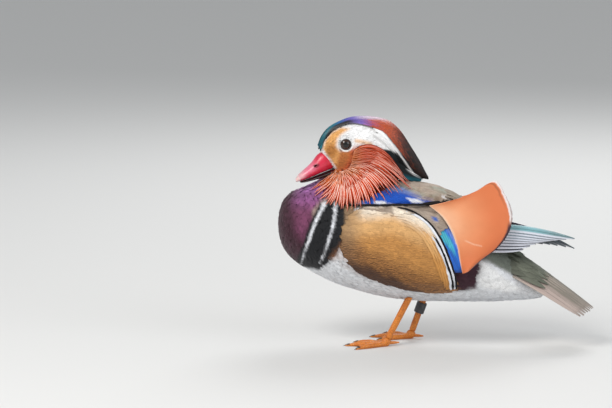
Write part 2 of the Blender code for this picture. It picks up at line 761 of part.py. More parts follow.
def eye_form(side, radius):
    x, out, z = EYE_CENTRE
    made = bmesh.new()
    bmesh.ops.create_uvsphere(made, u_segments=12, v_segments=8, radius=radius * MM)
    mesh = bpy.data.meshes.new("eye")
    made.to_mesh(mesh)
    made.free()
    mesh.shade_smooth()
    obj = bpy.data.objects.new("eye", mesh)
    bpy.context.scene.collection.objects.link(obj)
    mesh.transform(Matrix.Translation(Vector(turn_head((x, side * out, z))) * MM))
    return obj


def lid_form(side):
    """The ring of lids round one eye."""
    x, out, z = EYE_CENTRE
    place = Vector(turn_head((x, side * (out + LID_OUT), z))) * MM
    bpy.ops.mesh.primitive_torus_add(
        major_radius=LID_RADIUS * MM,
        minor_radius=LID_THICKNESS * MM,
        major_segments=14,
        minor_segments=4,
        location=place,
        rotation=(math.radians(90), 0.0, HEAD_YAW + side * LID_FORWARD),
    )
    lid = bpy.context.object
    lid.data.transform(lid.matrix_world)
    lid.matrix_world = Matrix.Identity(4)
    return lid


def tube(name, points, radius):
    """A round tube along a few points, in millimetres, as a mesh."""
    curve = bpy.data.curves.new(name, "CURVE")
    curve.dimensions = "3D"
    curve.bevel_depth = radius * MM
    curve.bevel_resolution = 2
    curve.use_fill_caps = True
    spline = curve.splines.new("POLY")
    spline.points.add(len(points) - 1)
    for place, point in zip(spline.points, points):
        place.co = (*(Vector(point) * MM), 1.0)
    guide = bpy.data.objects.new(name, curve)
    bpy.context.scene.collection.objects.link(guide)
    bpy.context.view_layer.update()
    graph = bpy.context.evaluated_depsgraph_get()
    mesh = bpy.data.meshes.new_from_object(guide.evaluated_get(graph))
    bpy.data.objects.remove(guide)
    obj = bpy.data.objects.new(name, mesh)
    bpy.context.scene.collection.objects.link(obj)
    made = mesh_of(obj)
    bmesh.ops.remove_doubles(made, verts=made.verts, dist=1e-6)
    bmesh.ops.recalc_face_normals(made, faces=made.faces)
    put_mesh(obj, made)
    return obj


def ball(name, centre, radius, across=12, up=8):
    made = bmesh.new()
    bmesh.ops.create_uvsphere(made, u_segments=across, v_segments=up, radius=radius * MM)
    mesh = bpy.data.meshes.new(name)
    made.to_mesh(mesh)
    made.free()
    mesh.shade_smooth()
    mesh.transform(Matrix.Translation(Vector(centre) * MM))
    obj = bpy.data.objects.new(name, mesh)
    bpy.context.scene.collection.objects.link(obj)
    return obj


def leg_line(side):
    """Ankle and toe joint of one leg as vectors in millimetres."""
    (ax, ay, az), (jx, jy, jz) = LEG_PLACES[side]
    return Vector((ax, side * ay, az)), Vector((jx, side * jy, jz))


def leg_form(side):
    ankle, joint = leg_line(side)
    run = (ankle - joint).normalized()
    leg = tube("leg", [joint, joint.lerp(ankle, 0.5), ankle + run * LEG_TOP], TARSUS_RADIUS)
    return combine(leg, [ball("knuckle", joint, KNUCKLE_RADIUS + GAP)], "DIFFERENCE")


def toe_form(start, heading, length, radii, on_floor=True):
    """One toe: a row of round joints, along the floor or level."""
    ahead = Vector((-math.cos(heading), -math.sin(heading), 0.0))
    across = Vector((0, 0, 1)).cross(ahead)
    rings = []
    for k, radius in enumerate(radii):
        centre = start + ahead * length * k / (len(radii) - 1)
        if on_floor:
            centre.z = radius * math.cos(math.pi / TOE_SIDES) - TOE_FLAT
        ring = []
        for turn in np.arange(TOE_SIDES) * 2 * math.pi / TOE_SIDES:
            ring.append(centre + across * math.cos(turn) * radius + Vector((0, 0, math.sin(turn) * radius)))
        rings.append(ring)
    return loft("toe", np.array(rings, float))


def foot_form(side):
    """Three webbed toes and the hind toe, with flats on the floor."""
    joint = leg_line(side)[1]
    foot = ball("foot", joint, KNUCKLE_RADIUS, 10, 6)
    toes, ends = [], []
    for length, turn in zip(TOE_LENGTHS, TOE_TURNS):
        heading = side * math.radians(turn)
        toes.append(toe_form(joint, heading, length, TOE_RADII))
        ahead = Vector((-math.cos(heading), -math.sin(heading), 0.0))
        ends.append(joint + ahead * length * WEB_REACH)
    behind = Vector((joint.x + HIND_TOE_BACK, joint.y, joint.z - HIND_TOE_DROP))
    heading = math.pi - side * math.radians(HIND_TOE_TURN)
    toes.append(toe_form(behind, heading, HIND_TOE_LENGTH, HIND_TOE_RADII, on_floor=False))
    for inner, outer in zip(ends, ends[1:]):
        rows = []
        for share in np.linspace(WEB_START, 1.0, WEB_ROWS):
            a, b = joint.lerp(inner, share), joint.lerp(outer, share)
            middle = a.lerp(b, 0.5).lerp(joint, WEB_HOLLOW * share)
            rows.append([(p.x, p.y, WEB_Z) for p in (a, middle, b)])
        toes.append(slab("web", rows, WEB_HALF_THICKNESS))
    combine(foot, toes, "UNION")
    under = prism("floor", np.array(UNDER_FLOOR), side, -FLOOR_HALF_WIDTH)
    return combine(foot, [under], "DIFFERENCE")


def ring_form():
    """The closed band round the right tarsus."""
    ankle, joint = leg_line(RIGHT)
    run = (ankle - joint).normalized()
    middle = joint + run * (RING_Z - joint.z) / run.z
    ends = [middle - run * RING_LENGTH / 2, middle, middle + run * RING_LENGTH / 2]
    ring = tube("leg_ring", ends, RING_RADIUS)
    bore = tube("bore", [ends[0] - run * 5, ends[2] + run * 5], TARSUS_RADIUS + GAP)
    return combine(ring, [bore], "DIFFERENCE")


def tail_ridge(along, across):
    """A place on the tail's upper side: share of its length, and share of its half width."""
    root, middle, tip = (np.array(p) for p in (TAIL_ROOT, TAIL_MIDDLE, TAIL_TIP))
    bend = 2 * middle - (root + tip) / 2
    x, z = (1 - along) ** 2 * root + 2 * along * (1 - along) * bend + along**2 * tip
    shorter = TAIL_OUTER_SHORTER * across * across * along
    spread = TAIL_ROOT_SPREAD + (TAIL_TIP_SPREAD - TAIL_ROOT_SPREAD) * along
    drop = TAIL_ROOT_DROP + (TAIL_TIP_DROP - TAIL_ROOT_DROP) * along
    return (x - shorter, across * spread, z - drop * across * across)


def tail_form():
    """The fan of tail feathers, the middle ones over the outer ones."""
    feathers = []
    for k in range(TAIL_FEATHERS):
        across = (2 * k + 1) / TAIL_FEATHERS - 1
        spine, ups = [], []
        for along in TAIL_SHARES:
            place = np.array(tail_ridge(along, across))
            ahead = np.array(tail_ridge(along + 0.01, across)) - place
            aside = np.array(tail_ridge(along, across + 0.01)) - place
            up = np.cross(ahead, aside)
            ups.append(up / np.linalg.norm(up))
            spine.append(place + ups[-1] * TAIL_STEP * TAIL_FEATHERS / 2 * (1 - abs(across)))
        feathers.append(vane("tail", spine, np.array(ups), TAIL_WIDTHS))
    return combine(feathers[0], feathers[1:], "UNION")


def head_reach(x, z):
    """Half width of the head, before it is turned, at a place in the side view."""
    low, high, half_width, level = smooth_at(HEAD_STATIONS, x)
    height = (high - level) if z > level else (level - low)
    return half_width * math.sqrt(max(0.0, 1 - ((z - level) / height) ** 2))


def smooth_at(stations, x):
    """The rest of a table's row at a value of its first column."""
    rows = smooth_rows(stations, CURVE_STEPS)
    return [np.interp(x, rows[:, 0], rows[:, k]) for k in range(1, rows.shape[1])]


def hackle_spine(share, side, tree, lift, alongs):
    """The line of one hackle of the ruff, from its root on the head to its tip on the body."""
    steps = np.linspace(0, 1, CURVE_STEPS)
    roots, tips = smooth_rows(RUFF_ROOTS, CURVE_STEPS), smooth_rows(RUFF_TIPS, CURVE_STEPS)
    root = np.array([np.interp(share, steps, roots[:, k]) for k in (0, 1)])
    tip = np.array([np.interp(share, steps, tips[:, k]) for k in (0, 1)])
    start = turn_head((root[0], side * (head_reach(*root) - RUFF_SUNK), root[1]))
    end = np.array([tip[0], side * (side_reach(tree, tip[0], tip[1], side) + lift), tip[1]])
    spine = []
    for along in alongs:
        point = start + (end - start) * along
        point[1] += side * (RUFF_BULGE + lift - RUFF_LIFT) * math.sin(math.pi * along)
        if along > RUFF_FREE_FROM:
            point[1] = side * max(side * point[1], side_reach(tree, point[0], point[2], side))
            place, normal = tree.find_nearest(Vector(point) * MM)[:2]
            normal = np.array(normal)
            height = (point - np.array(place) / MM) @ normal
            point = point + normal * max(0.0, lift * eased(along * EMERGING) - height)
        spine.append(point)
    return np.array(spine)


def ruff_form(side, tree):
    """The hackles of one side over a core that stops short of half their length."""
    alongs = np.linspace(0, RUFF_CORE_REACH, RUFF_CORE_ROWS)
    shares = np.linspace(RUFF_CORE_MARGIN, 1 - RUFF_CORE_MARGIN, RUFF_CORE_COLUMNS)
    rows = [hackle_spine(share, side, tree, RUFF_LIFT, alongs) for share in shares]
    core = slab("ruff", rows, RUFF_THICKNESS / 2)
    hackles = []
    for count, reach, rise, half_width in RUFF_LAYERS:
        for share in np.linspace(0, 1, count):
            alongs = reach * np.array(RUFF_SHARES)
            spine = hackle_spine(share, side, tree, RUFF_LIFT + rise, alongs)
            ups = [nearest_normal(tree, point) for point in spine]
            widths = [half_width * w for w in RUFF_WIDTHS]
            hackles.append(vane("hackle", spine, np.array(ups), widths))
    return combine(core, hackles, "UNION")


def nearest_normal(tree, point):
    return np.array(tree.find_nearest(Vector(point) * MM)[1])


def sail_grid(side, tree, rows=10, columns=7):
    """Places on one sail, from its shaft on the wing out to its hind margin."""
    shaft = smooth_rows(SAIL_SHAFT, rows)
    margin = smooth_rows(SAIL_MARGIN, rows)
    grid = []
    drops = SAIL_DROPS[side] * (1 - np.linspace(0, 1, rows))
    for (x, z), (mx, my, mz), drop in zip(shaft, margin, drops):
        root = np.array([x, side * (side_reach(tree, x, z, side) - SAIL_SUNK), z])
        end = np.array([mx, -side * my, mz - drop])
        line = []
        for share in np.linspace(0, 1, columns):
            point = root + (end - root) * share
            point[1] += side * SAIL_BULGE * math.sin(math.pi * share)
            line.append(point)
        grid.append(line)
    return np.array(grid)


def spread_sheet(grid, margin):
    """The same sheet of points, reaching a margin further at every edge."""
    wide = grid.copy()
    every = slice(None)
    edges = [(0, 1), (-1, -2), ((every, 0), (every, 1)), ((every, -1), (every, -2))]
    for edge, inner in edges:
        away = grid[edge] - grid[inner]
        wide[edge] += away * margin / np.linalg.norm(away, axis=1)[:, None]
    return wide


def primaries(side):
    """The flight feathers of the folded wing, a stack of blades that lie over the rump."""
    blades = []
    for k, (x, out, z) in enumerate(PRIMARY_TIPS):
        root = np.array(PRIMARY_ROOT) + np.array(PRIMARY_ROOT_STEP) * k
        tip = np.array((x, out, z))
        spine = []
        for share in PRIMARY_SHARES:
            point = root + (tip - root) * share
            point[2] += PRIMARY_ARCH * math.sin(math.pi * share) - PRIMARY_DROPS[side] * share**2
            spine.append((point[0], side * point[1], point[2]))
        blades.append(vane("primary", spine, (0.0, side * PRIMARY_TILT, 1.0), PRIMARY_WIDTHS))
    return blades


def crest_place(x, turn, inset):
    """A place on the crest's outline, before the head is turned."""
    low, high, half_width, level = smooth_at(CREST_STATIONS, x)
    height = (high - level) if turn > 0 else (level - low)
    across = max(0.4, half_width - inset)
    return np.array([x, across * math.cos(turn), level + max(0.4, height - inset) * math.sin(turn)])


def crest_inset(x):
    """How far the crest's core lies under its outline: thin over the forehead."""
    return CREST_CORE_INSET * float(eased((x - CREST_FRONT[0]) / CREST_RAMP))


def crest_form_of_locks():
    """A core over the crown, and tiers of flat locks that run back to the tip over the nape."""
    rows = []
    for x, low, high, half_width, level in CREST_STATIONS[:CREST_CORE_STATIONS]:
        inset = crest_inset(x)
        rows.append((x, low + inset, high - inset, half_width - inset, level))
    core = upright_loft(
        "crest", rows, CREST_CORE_RINGS, CREST_CORE_SIDES, CREST_CORE_FRONT, CREST_CORE_BACK
    )
    move_points(core, turn_head)
    draw = random.Random(CREST_SEED)
    locks = []
    for root_x, tip_x, count, lowest in CREST_TIERS:
        for k in range(count):
            turn = math.pi * (lowest + (1 - 2 * lowest) * (k + 0.5) / count)
            reach = draw.uniform(-3.0, 0.0)
            spine, ups, widths = [], [], []
            for share, taper in zip(CREST_SHARES, CREST_TAPERS):
                x = root_x + (tip_x + reach - root_x) * share
                inset = crest_inset(x) + CREST_SUNK - CREST_LIFT * min(1.0, share * EMERGING)
                spine.append(crest_place(x, turn, inset))
                ups.append((0.0, math.cos(turn), math.sin(turn)))
                low, high, half_width, level = smooth_at(CREST_STATIONS, x)
                widths.append(taper * (half_width + high - level) * math.pi / 2 / count)
            lock = vane("lock", spine, np.array(ups), widths)
            locks.append(move_points(lock, turn_head))
    return combine(core, locks, "UNION")


def clear_scene():
    for obj in list(bpy.data.objects):
        bpy.data.objects.remove(obj)


def build_head():
    shape = head_form()
    shape.name = "head_shape"
    head = grown(shape, 0.0)
    head.name = "head"
    combine(head, [lid_form(side) for side in (LEFT, RIGHT)], "UNION")
    combine(head, [eye_form(side, EYE_RADIUS + GAP) for side in (LEFT, RIGHT)], "DIFFERENCE")
    return shape, head


def rooms_of(side, *layers):
    """The space that layers of plumage on one side take, with their vanes and a gap."""
    tables = {
        "wing": (WING_CORNERS, wing_lift, WING_DEPTH - WING_SLAB + GAP),
        "scapulars": (SCAPULAR_CORNERS, scapular_lift, SCAPULAR_VANE_ROOM + GAP),
        "flank": (FLANK_CORNERS, flank_lift, GAP),
    }
    rooms = []
    for layer in layers:
        corners, lift_rule, margin = tables[layer]
        rooms.append(raised("room", corners, side, lift_rule, margin))
    return rooms


def build_side(side, word, shapes, bills):
    """Everything that one side of the bird has of its own."""
    torso, neck_shape, head_shape, crest_shape = shapes
    eye = eye_form(side, EYE_RADIUS)
    eye.name = "eye_" + word
    coloured(eye, (0.02, 0.012, 0.01), 0.05)

    wing = raised("wing_" + word, WING_CORNERS, side, wing_lift)
    grid = sail_grid(side, surface_of(torso, wing))
    vanes = tier_vanes(surface_of(torso), side_hit, WING_TIERS, side, WING_SLAB + VANE_LIFT)
    combine(wing, trimmed(vanes, WING_CORNERS, side) + primaries(side), "UNION")
    room = slab("room", spread_sheet(grid, SAIL_CLEAR), SAIL_THICKNESS / 2 + SAIL_ROOM)
    combine(wing, [room], "DIFFERENCE")
    coloured(cut_by(wing, torso), (0.25, 0.22, 0.2), 0.5)

    scapulars = raised("scapulars_" + word, SCAPULAR_CORNERS, side, scapular_lift)
    vanes = tier_vanes(surface_of(scapulars), round_hit, SCAPULAR_TIERS, side, VANE_LIFT)
    combine(scapulars, vanes, "UNION")
    cut_by(scapulars, torso, neck_shape)
    combine(scapulars, rooms_of(side, "wing"), "DIFFERENCE")
    coloured(scapulars, (0.3, 0.26, 0.22), 0.6)

    flank = raised("flank_" + word, FLANK_CORNERS, side, flank_lift)
    cut_by(flank, torso, neck_shape)
    combine(flank, rooms_of(side, "wing", "scapulars"), "DIFFERENCE")
    coloured(flank, (0.6, 0.4, 0.15), 0.6)

    sail = slab("sail_" + word, grid, SAIL_THICKNESS / 2)
    cut_by(sail, torso)
    combine(sail, rooms_of(side, "scapulars", "flank"), "DIFFERENCE")
    coloured(sail, (0.8, 0.3, 0.12), 0.55)

    surface = surface_of(torso, neck_shape, head_shape, scapulars, flank)
    ruff = ruff_form(side, surface)
    ruff.name = "ruff_" + word
    cut_by(ruff, torso, neck_shape, head_shape, crest_shape)
    combine(ruff, rooms_of(side, "scapulars", "flank") + [bill.copy() for bill in bills], "DIFFERENCE")
    coloured(ruff, (0.7, 0.2, 0.06), 0.6)

    leg = cut_by(leg_form(side), torso)
    leg.name = "leg_" + word
    coloured(leg, (0.75, 0.3, 0.04), 0.5)
    foot = foot_form(side)
    foot.name = "foot_" + word
    coloured(foot, (0.75, 0.3, 0.04), 0.5)


def build_bill(head_shape):
    """Both mandibles, and forms of them that are a gap larger."""
    rooms = []
    for name, stations in (("bill_upper", BILL_UPPER_STATIONS), ("bill_lower", BILL_LOWER_STATIONS)):
        bill = bill_form(name, stations, BILL_RINGS)
        rooms.append(grown(bill, GAP))
        cut_by(bill, head_shape)
        if name == "bill_upper":
            combine(bill, [nostril_form(LEFT), nostril_form(RIGHT)], "DIFFERENCE")
        coloured(bill, (0.7, 0.05, 0.1), 0.35)
    return rooms


def main():
    clear_scene()
    torso = torso_form()
    coloured(torso, (0.55, 0.53, 0.5), 0.8)
    head_shape, head = build_head()
    coloured(head, (0.85, 0.8, 0.7), 0.7)
    bills = build_bill(head_shape)
    neck_shape = neck_form()
    neck_shape.name = "neck_shape"
    neck = grown(neck_shape, 0.0)
    neck.name = "neck"
    cut_by(neck, torso, head_shape)
    combine(neck, [bill.copy() for bill in bills], "DIFFERENCE")
    coloured(neck, (0.5, 0.15, 0.05), 0.7)
    crest_shape = crest_form()
    crest_shape.name = "crest_shape"
    crest = cut_by(crest_form_of_locks(), head_shape)
    coloured(crest, (0.1, 0.03, 0.02), 0.5)
    coloured(cut_by(tail_form(), torso), (0.3, 0.26, 0.2), 0.6)
    coloured(ring_form(), (0.05, 0.05, 0.06), 0.4)
    for side, word in ((LEFT, "left"), (RIGHT, "right")):
        build_side(side, word, (torso, neck_shape, head_shape, crest_shape), bills)
    for shape in (head_shape, neck_shape, crest_shape, *bills):
        bpy.data.objects.remove(shape)


main()
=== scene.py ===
# A mandarin drake standing at rest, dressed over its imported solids.
# Lengths are millimetres, and metres for the lamps and the floor. The drake faces -X and its left side is -Y.
import math

import bmesh
import bpy
import numpy as np
from mathutils import Matrix, Vector
from mathutils.bvhtree import BVHTree


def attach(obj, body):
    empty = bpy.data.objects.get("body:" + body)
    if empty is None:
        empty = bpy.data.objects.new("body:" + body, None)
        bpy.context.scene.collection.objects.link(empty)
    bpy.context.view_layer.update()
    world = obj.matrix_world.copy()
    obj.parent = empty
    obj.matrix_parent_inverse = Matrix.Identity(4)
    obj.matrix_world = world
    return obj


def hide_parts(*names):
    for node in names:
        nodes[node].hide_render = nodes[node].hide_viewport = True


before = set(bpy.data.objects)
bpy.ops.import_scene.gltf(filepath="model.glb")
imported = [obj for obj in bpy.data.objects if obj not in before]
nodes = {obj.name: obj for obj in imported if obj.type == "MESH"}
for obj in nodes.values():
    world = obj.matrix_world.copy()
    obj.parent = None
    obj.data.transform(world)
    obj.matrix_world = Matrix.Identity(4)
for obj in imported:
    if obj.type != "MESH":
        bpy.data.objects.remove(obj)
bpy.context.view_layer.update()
metre = 0.001  # metres in a millimetre
tiny = 1e-9  # keeps a division from failing
print("frame loaded")

# where the photo was taken from, and how its pixels lie over the bird's middle
photo = {
    "azimuth": math.radians(4.5),
    "elevation": math.radians(7.5),
    "target": (-122.6, 0.0, 132.0),
    "distance": 3000.0,
    "frameWidth": 581.4,
    "pixel": 0.95,
    "middleColumn": 435.0,
    "floorRow": 343.0,
}
bird = {"headTurn": math.radians(12), "neckX": -68.0, "seed": 11, "farOut": 200.0}


def shade(red, green, blue):
    value = np.array([red, green, blue], float) / 255
    return np.where(value > 0.04045, ((value + 0.055) / 1.055) ** 2.4, value / 12.92)


def shades(**dyes):
    return {name: shade(*dye) for name, dye in dyes.items()}


def eased(value):
    share = np.clip(value, 0.0, 1.0)
    return share * share * (3 - 2 * share)


def unit(vectors):
    return vectors / np.maximum(np.linalg.norm(vectors, axis=-1), tiny)[..., None]


def bowed(root, middle, tip, share):
    # a place on the bow from a root through its middle to a tip
    bend = 2 * middle - (root + tip) / 2
    return (1 - share) ** 2 * root + 2 * share * (1 - share) * bend + share**2 * tip


def headTurned(points, angle=bird["headTurn"]):
    points = np.array(points, float)
    x, y = points[..., 0] - bird["neckX"], points[..., 1].copy()
    points[..., 0] = bird["neckX"] + x * math.cos(angle) - y * math.sin(angle)
    points[..., 1] = x * math.sin(angle) + y * math.cos(angle)
    return points


def headStraight(points):
    return headTurned(points, -bird["headTurn"])


def photoPlaces(points, ofHead):
    # the column and row where a point shows in the photo, the right side folded onto the left
    straight = np.where(ofHead[:, None], headStraight(points), points)
    straight[:, 1] = -np.abs(straight[:, 1])
    seen = np.where(ofHead[:, None], headTurned(straight), straight)
    across = seen[:, 0] + seen[:, 1] * math.sin(photo["azimuth"])
    upward = seen[:, 2] + seen[:, 1] * math.sin(photo["elevation"])
    column = photo["middleColumn"] + across / photo["pixel"]
    row = photo["floorRow"] - upward / photo["pixel"]
    return np.column_stack([column, row])


def headPlaces(points):
    return photoPlaces(points, np.ones(len(points), bool))


def bodyPlaces(points):
    return photoPlaces(points, np.zeros(len(points), bool))


def awayFrom(places, start, run):
    # how far each place is from the nearest of some straight stretches
    offset = places[:, None, :] - start
    share = np.clip((offset * run).sum(2) / (run * run).sum(1), 0, 1)
    return np.linalg.norm(offset - share[..., None] * run, axis=2).min(1)


def inside(places, outline, soft):
    # 1 within an outline of the photo, 0 outside, easing over some pixels
    start = np.array(outline, float)
    run = np.roll(start, -1, axis=0) - start
    away = awayFrom(places, start, run)
    column, row = places[:, None, 0], places[:, None, 1]
    crosses = (start[:, 1] > row) != ((start + run)[:, 1] > row)
    level = np.where(run[:, 1] == 0, tiny, run[:, 1])
    at = start[:, 0] + (row - start[:, 1]) * run[:, 0] / level
    within = (crosses & (column < at)).sum(1) % 2 == 1
    return eased(0.5 + np.where(within, away, -away) / soft)


def nearLine(places, line, width, soft):
    # 1 on a line of the photo, 0 off it
    line = np.array(line, float)
    away = awayFrom(places, line[:-1], np.diff(line, axis=0))
    return eased((width / 2 + soft / 2 - away) / soft)


ripple = {"octaves": (1.0, 2.1, 4.3), "lastPhase": 6.28, "strength": 0.16}


def rippled(points, scale, seed):
    # a soft uneven value between 0 and 1
    draw = np.random.default_rng(seed)
    total = np.zeros(len(points))
    for octave in ripple["octaves"]:
        waves = draw.normal(size=(3, 3)) * octave / scale
        phases = draw.uniform(0, ripple["lastPhase"], 3)
        total += np.sin(points @ waves.T + phases).sum(1) / octave
    return np.clip(0.5 + total * ripple["strength"], 0, 1)


# the dyes of the plumage, as they show in daylight
dyes = shades(
    white=(248, 248, 248), belly=(232, 234, 238), bellyShade=(172, 176, 184), rump=(84, 78, 64),
    tailGrey=(112, 118, 108), maroonDark=(60, 26, 40), purple=(186, 120, 198), purplePink=(152, 80, 122),
    breastLilac=(196, 140, 204), breastTip=(126, 84, 106), barBlack=(16, 17, 22), barWhite=(232, 234, 240),
    taupe=(176, 158, 142), taupeGrey=(150, 140, 130), gold=(206, 146, 78), goldPale=(222, 172, 112),
    cream=(246, 232, 212), ochreGrey=(150, 122, 92), flankBrown=(140, 88, 50), flankDark=(66, 42, 34),
    buff=(234, 172, 102), loreDark=(164, 96, 30), cheek=(188, 112, 58), chestnut=(196, 84, 48),
    underHackles=(116, 40, 26), greenBlack=(18, 26, 30), tealEdge=(22, 104, 120), teal=(14, 122, 140),
    blue=(44, 66, 170), violet=(120, 100, 190), lilac=(196, 176, 196), copper=(190, 78, 36),
    maroon=(92, 34, 18), crestBlack=(14, 9, 11),
    scapularGreen=(150, 156, 140), scapularBrown=(120, 96, 70),
    bandPale=(70, 112, 196), bandBlue=(8, 78, 184),
    underCream=(226, 214, 200), spotBlue=(20, 92, 186), covertBrown=(70, 54, 42),
)

# outlines and lines of the markings, read off the photo as columns and rows
headMarks = {
    "browTop": [
        (321, 151), (322.5, 146), (325, 139), (331, 130.5), (340, 124.5), (351, 121.5), (362, 123),
        (374, 127), (384, 131), (390, 140), (398, 149), (405, 157.5), (413, 168), (419, 178),
    ],
    "crown": [(430, 190), (440, 150), (400, 100), (330, 100), (310, 130), (312, 152)],
    "lores": [
        (322, 149), (325, 140), (331, 132), (341, 127), (349, 128.5), (341, 134), (337, 139), (336, 147),
        (341, 152), (352, 151), (357, 158), (352, 166), (343, 171), (336, 169), (330, 159),
    ],
    "loreShade": (331.5, 150.5), "loreSpread": (5, 6),
    "billEdge": [(322.5, 150), (326, 156), (330, 161), (335, 167)],
    "cheek": [(340, 150), (352, 149), (358, 156), (354, 168), (342, 176), (336, 170), (338, 158)],
    "hackled": [
        (350, 149), (356, 146.5), (364, 145), (372, 146.5), (380, 149), (386, 154), (392, 163),
        (400, 172), (412, 177), (400, 200), (330, 200), (330, 172), (344, 168), (350, 158),
    ],
    "patch": [
        (376, 147.6), (386, 148.8), (395, 150.6), (401, 155), (407, 162), (413, 170), (418, 177),
        (427, 181), (411, 179), (399, 174), (391, 164), (384, 155),
    ],
    "patchEdge": [(392, 168), (400, 174), (412, 178), (427, 180.5)],
    "smudge": [(356, 140.5), (363, 141.5), (370, 143.5)],
    "browLine": [(388, 142), (397, 150.5), (404, 159.5), (410, 168), (416, 175.5)],
    "browEnd": [
        (355, 118), (374, 126), (384, 132), (391, 141), (399, 150), (396, 152), (384, 147), (355, 146),
    ],
    # dyes along the crown, by column
    "crownSteps": [318, 332, 341, 350, 360, 372, 391, 404, 415, 430],
    "crownDyes": [
        "teal", "teal", "blue", "violet", "violet", "copper", "copper", "maroon", "crestBlack", "crestBlack",
    ],
}
crownOutline = headMarks["browTop"] + headMarks["crown"]
bodyMarks = {
    "rump": [
        (300, 120), (345, 200), (430, 212), (462, 262), (478, 257), (486, 258), (504, 268), (520, 276),
        (560, 292), (590, 260), (560, 120),
    ],
    "ventPatch": [(472, 256), (486, 262), (508, 279), (520, 288), (505, 290), (480, 286), (472, 270)],
    "darkPatch": [(450, 240), (462, 256), (474, 254), (479, 264), (474, 287), (455, 290), (446, 268)],
    "shadedUnderside": [(290, 268), (320, 280), (360, 290), (400, 297), (560, 296), (560, 330), (290, 330)],
    "breast": [
        (290, 160), (365, 160), (362, 205), (346, 212), (330, 240), (320, 262), (300, 268),
        (284, 262), (268, 235), (268, 200), (282, 182),
    ],
    "purple": [
        (298, 192), (307, 182), (322, 178), (338, 180), (338, 197), (322, 203), (309, 222), (304, 240),
        (297, 232), (294, 215), (293, 202),
    ],
    "wedge": [(345, 192), (352, 203), (343, 208), (324, 205), (313, 222), (312, 210), (322, 199)],
    "bars": [
        (320, 203), (352, 201), (350, 225), (344, 240), (335, 256), (320, 270), (300, 267), (296, 262),
        (303, 244), (310, 222),
    ],
    "barLines": [
        [(325, 203), (320, 212), (314, 225), (309, 240), (304, 254), (301, 264)],
        [(335.5, 203), (334.5, 215), (332, 229), (327, 245), (320, 263)],
    ],
    "barWidths": (3.7, 1.7),
    "flankFront": [(344, 206), (354, 203), (354, 246), (344, 240)],
    "brownEdge": [(344, 236), (356, 262), (376, 280), (362, 276), (342, 266), (328, 258), (336, 248)],
}
flankMarks = {
    "rearRows": (206, 216, 226, 238, 250, 263, 276, 286),
    "rearColumns": (394, 420, 430, 438, 444, 449, 453, 454.5),
    "slopeFrom": 392, "slopeBehind": 0.42, "slopeAhead": 0.1,
    "lowFrom": 400, "lowSlope": 0.4,
}
wingMarks = {
    "blueBand": [
        (352, 199), (366, 193), (378, 190), (392, 190), (404, 193), (416, 197), (438, 202.5), (436, 205),
        (405, 203.6), (380, 204), (352, 204),
    ],
    "paleBand": [(364, 192), (382, 185), (396, 184), (408, 190), (420, 196), (404, 195), (380, 192)],
    "whiteSpots": [
        [(346, 195), (358, 193), (361, 198), (359, 203), (347, 203)],
        [(373, 200), (383, 200.5), (387, 203.5), (374, 203.5)],
        [(405, 197), (414, 197.5), (424, 201.5), (412, 202)],
        [(440, 194.6), (452, 193.2), (453, 195.8), (442, 197.2)],
    ],
    "blackLine": [(344, 204.8), (380, 204.6), (412, 204.4), (436, 204.2), (450, 200.5), (457, 198.6)],
    "underLine": [(352, 206.8), (380, 206.6), (412, 206.6), (430, 207.2)],
    "creamEdge": [
        (392, 206), (408, 211), (420, 218), (430, 227), (438, 240), (444, 252), (449, 265), (453, 286),
        (438, 286), (424, 244), (408, 222), (392, 212),
    ],
    "blueSpot": [(431, 215.5), (436, 216.5), (436, 220), (431, 219)],
    "blackColumns": (345, 400, 436, 456, 464), "blackWidths": (1.2, 1.8, 3.4, 4.4, 2.0),
}


def plain(dye, points):
    return np.tile(dye, (len(points), 1))


def lay(colour, dye, amount):
    # a dye laid over the colours, by a share for each of them
    colour += (dye - colour) * np.clip(amount, 0, 1)[:, None]


def overBrow(places):
    # how many rows a place is over the brow's upper edge
    edge = np.array(headMarks["browTop"])
    return np.interp(places[:, 0], edge[:, 0], edge[:, 1]) - places[:, 1]


def crownSheen(places, above):
    # teal over violet and copper to black along the crown, over a black lower edge, with a painted lilac
    # highlight along its top
    column, row = places.T
    colour = plain(dyes["crestBlack"], places)
    sheen = np.maximum(eased((above - 1.4) / 1.8), eased((column - 348) / 6))
    along = column + 0.25 * np.maximum(0, row - 125)
    run = np.array([dyes[name] for name in headMarks["crownDyes"]])
    lay(colour, np.array([np.interp(along, headMarks["crownSteps"], part) for part in run.T]).T, sheen)
    # painted highlight: a lilac band along the top rows of the crown
    top = sheen * eased((along - 352) / 8) * eased((392 - along) / 10) * eased((119.5 - row) / 2.5)
    lay(colour, dyes["lilac"], 0.85 * top)
    return colour


def headColours(points):
    places = headPlaces(points)
    colour = plain(dyes["white"], points)
    lay(colour, dyes["buff"], inside(places, headMarks["lores"], 5))
    shadeAway = np.linalg.norm((places - headMarks["loreShade"]) / headMarks["loreSpread"], axis=1)
    lay(colour, dyes["loreDark"], 0.7 * eased(1.6 - shadeAway))
    lay(colour, dyes["cheek"], inside(places, headMarks["cheek"], 6))
    lay(colour, dyes["chestnut"], inside(places, headMarks["hackled"], 9))
    lay(colour, dyes["buff"], 0.7 * nearLine(places, headMarks["smudge"], 3.6, 3.4))
    lay(colour, dyes["greenBlack"], inside(places, headMarks["patch"], 1.6))
    lay(colour, dyes["tealEdge"], 0.8 * nearLine(places, headMarks["patchEdge"], 2.0, 2.0))
    lay(colour, dyes["white"], nearLine(places, headMarks["billEdge"], 2.0, 1.2))
    onCrown = inside(places, crownOutline, 1.3)
    lay(colour, dyes["crestBlack"], onCrown)
    lay(colour, crownSheen(places, overBrow(places)), onCrown)
    return colour


def crestColours(points):
    # the crown's colours, also for a point that has drifted over its lower edge
    places = headPlaces(points)
    return crownSheen(places, np.maximum(0.4, overBrow(places)))


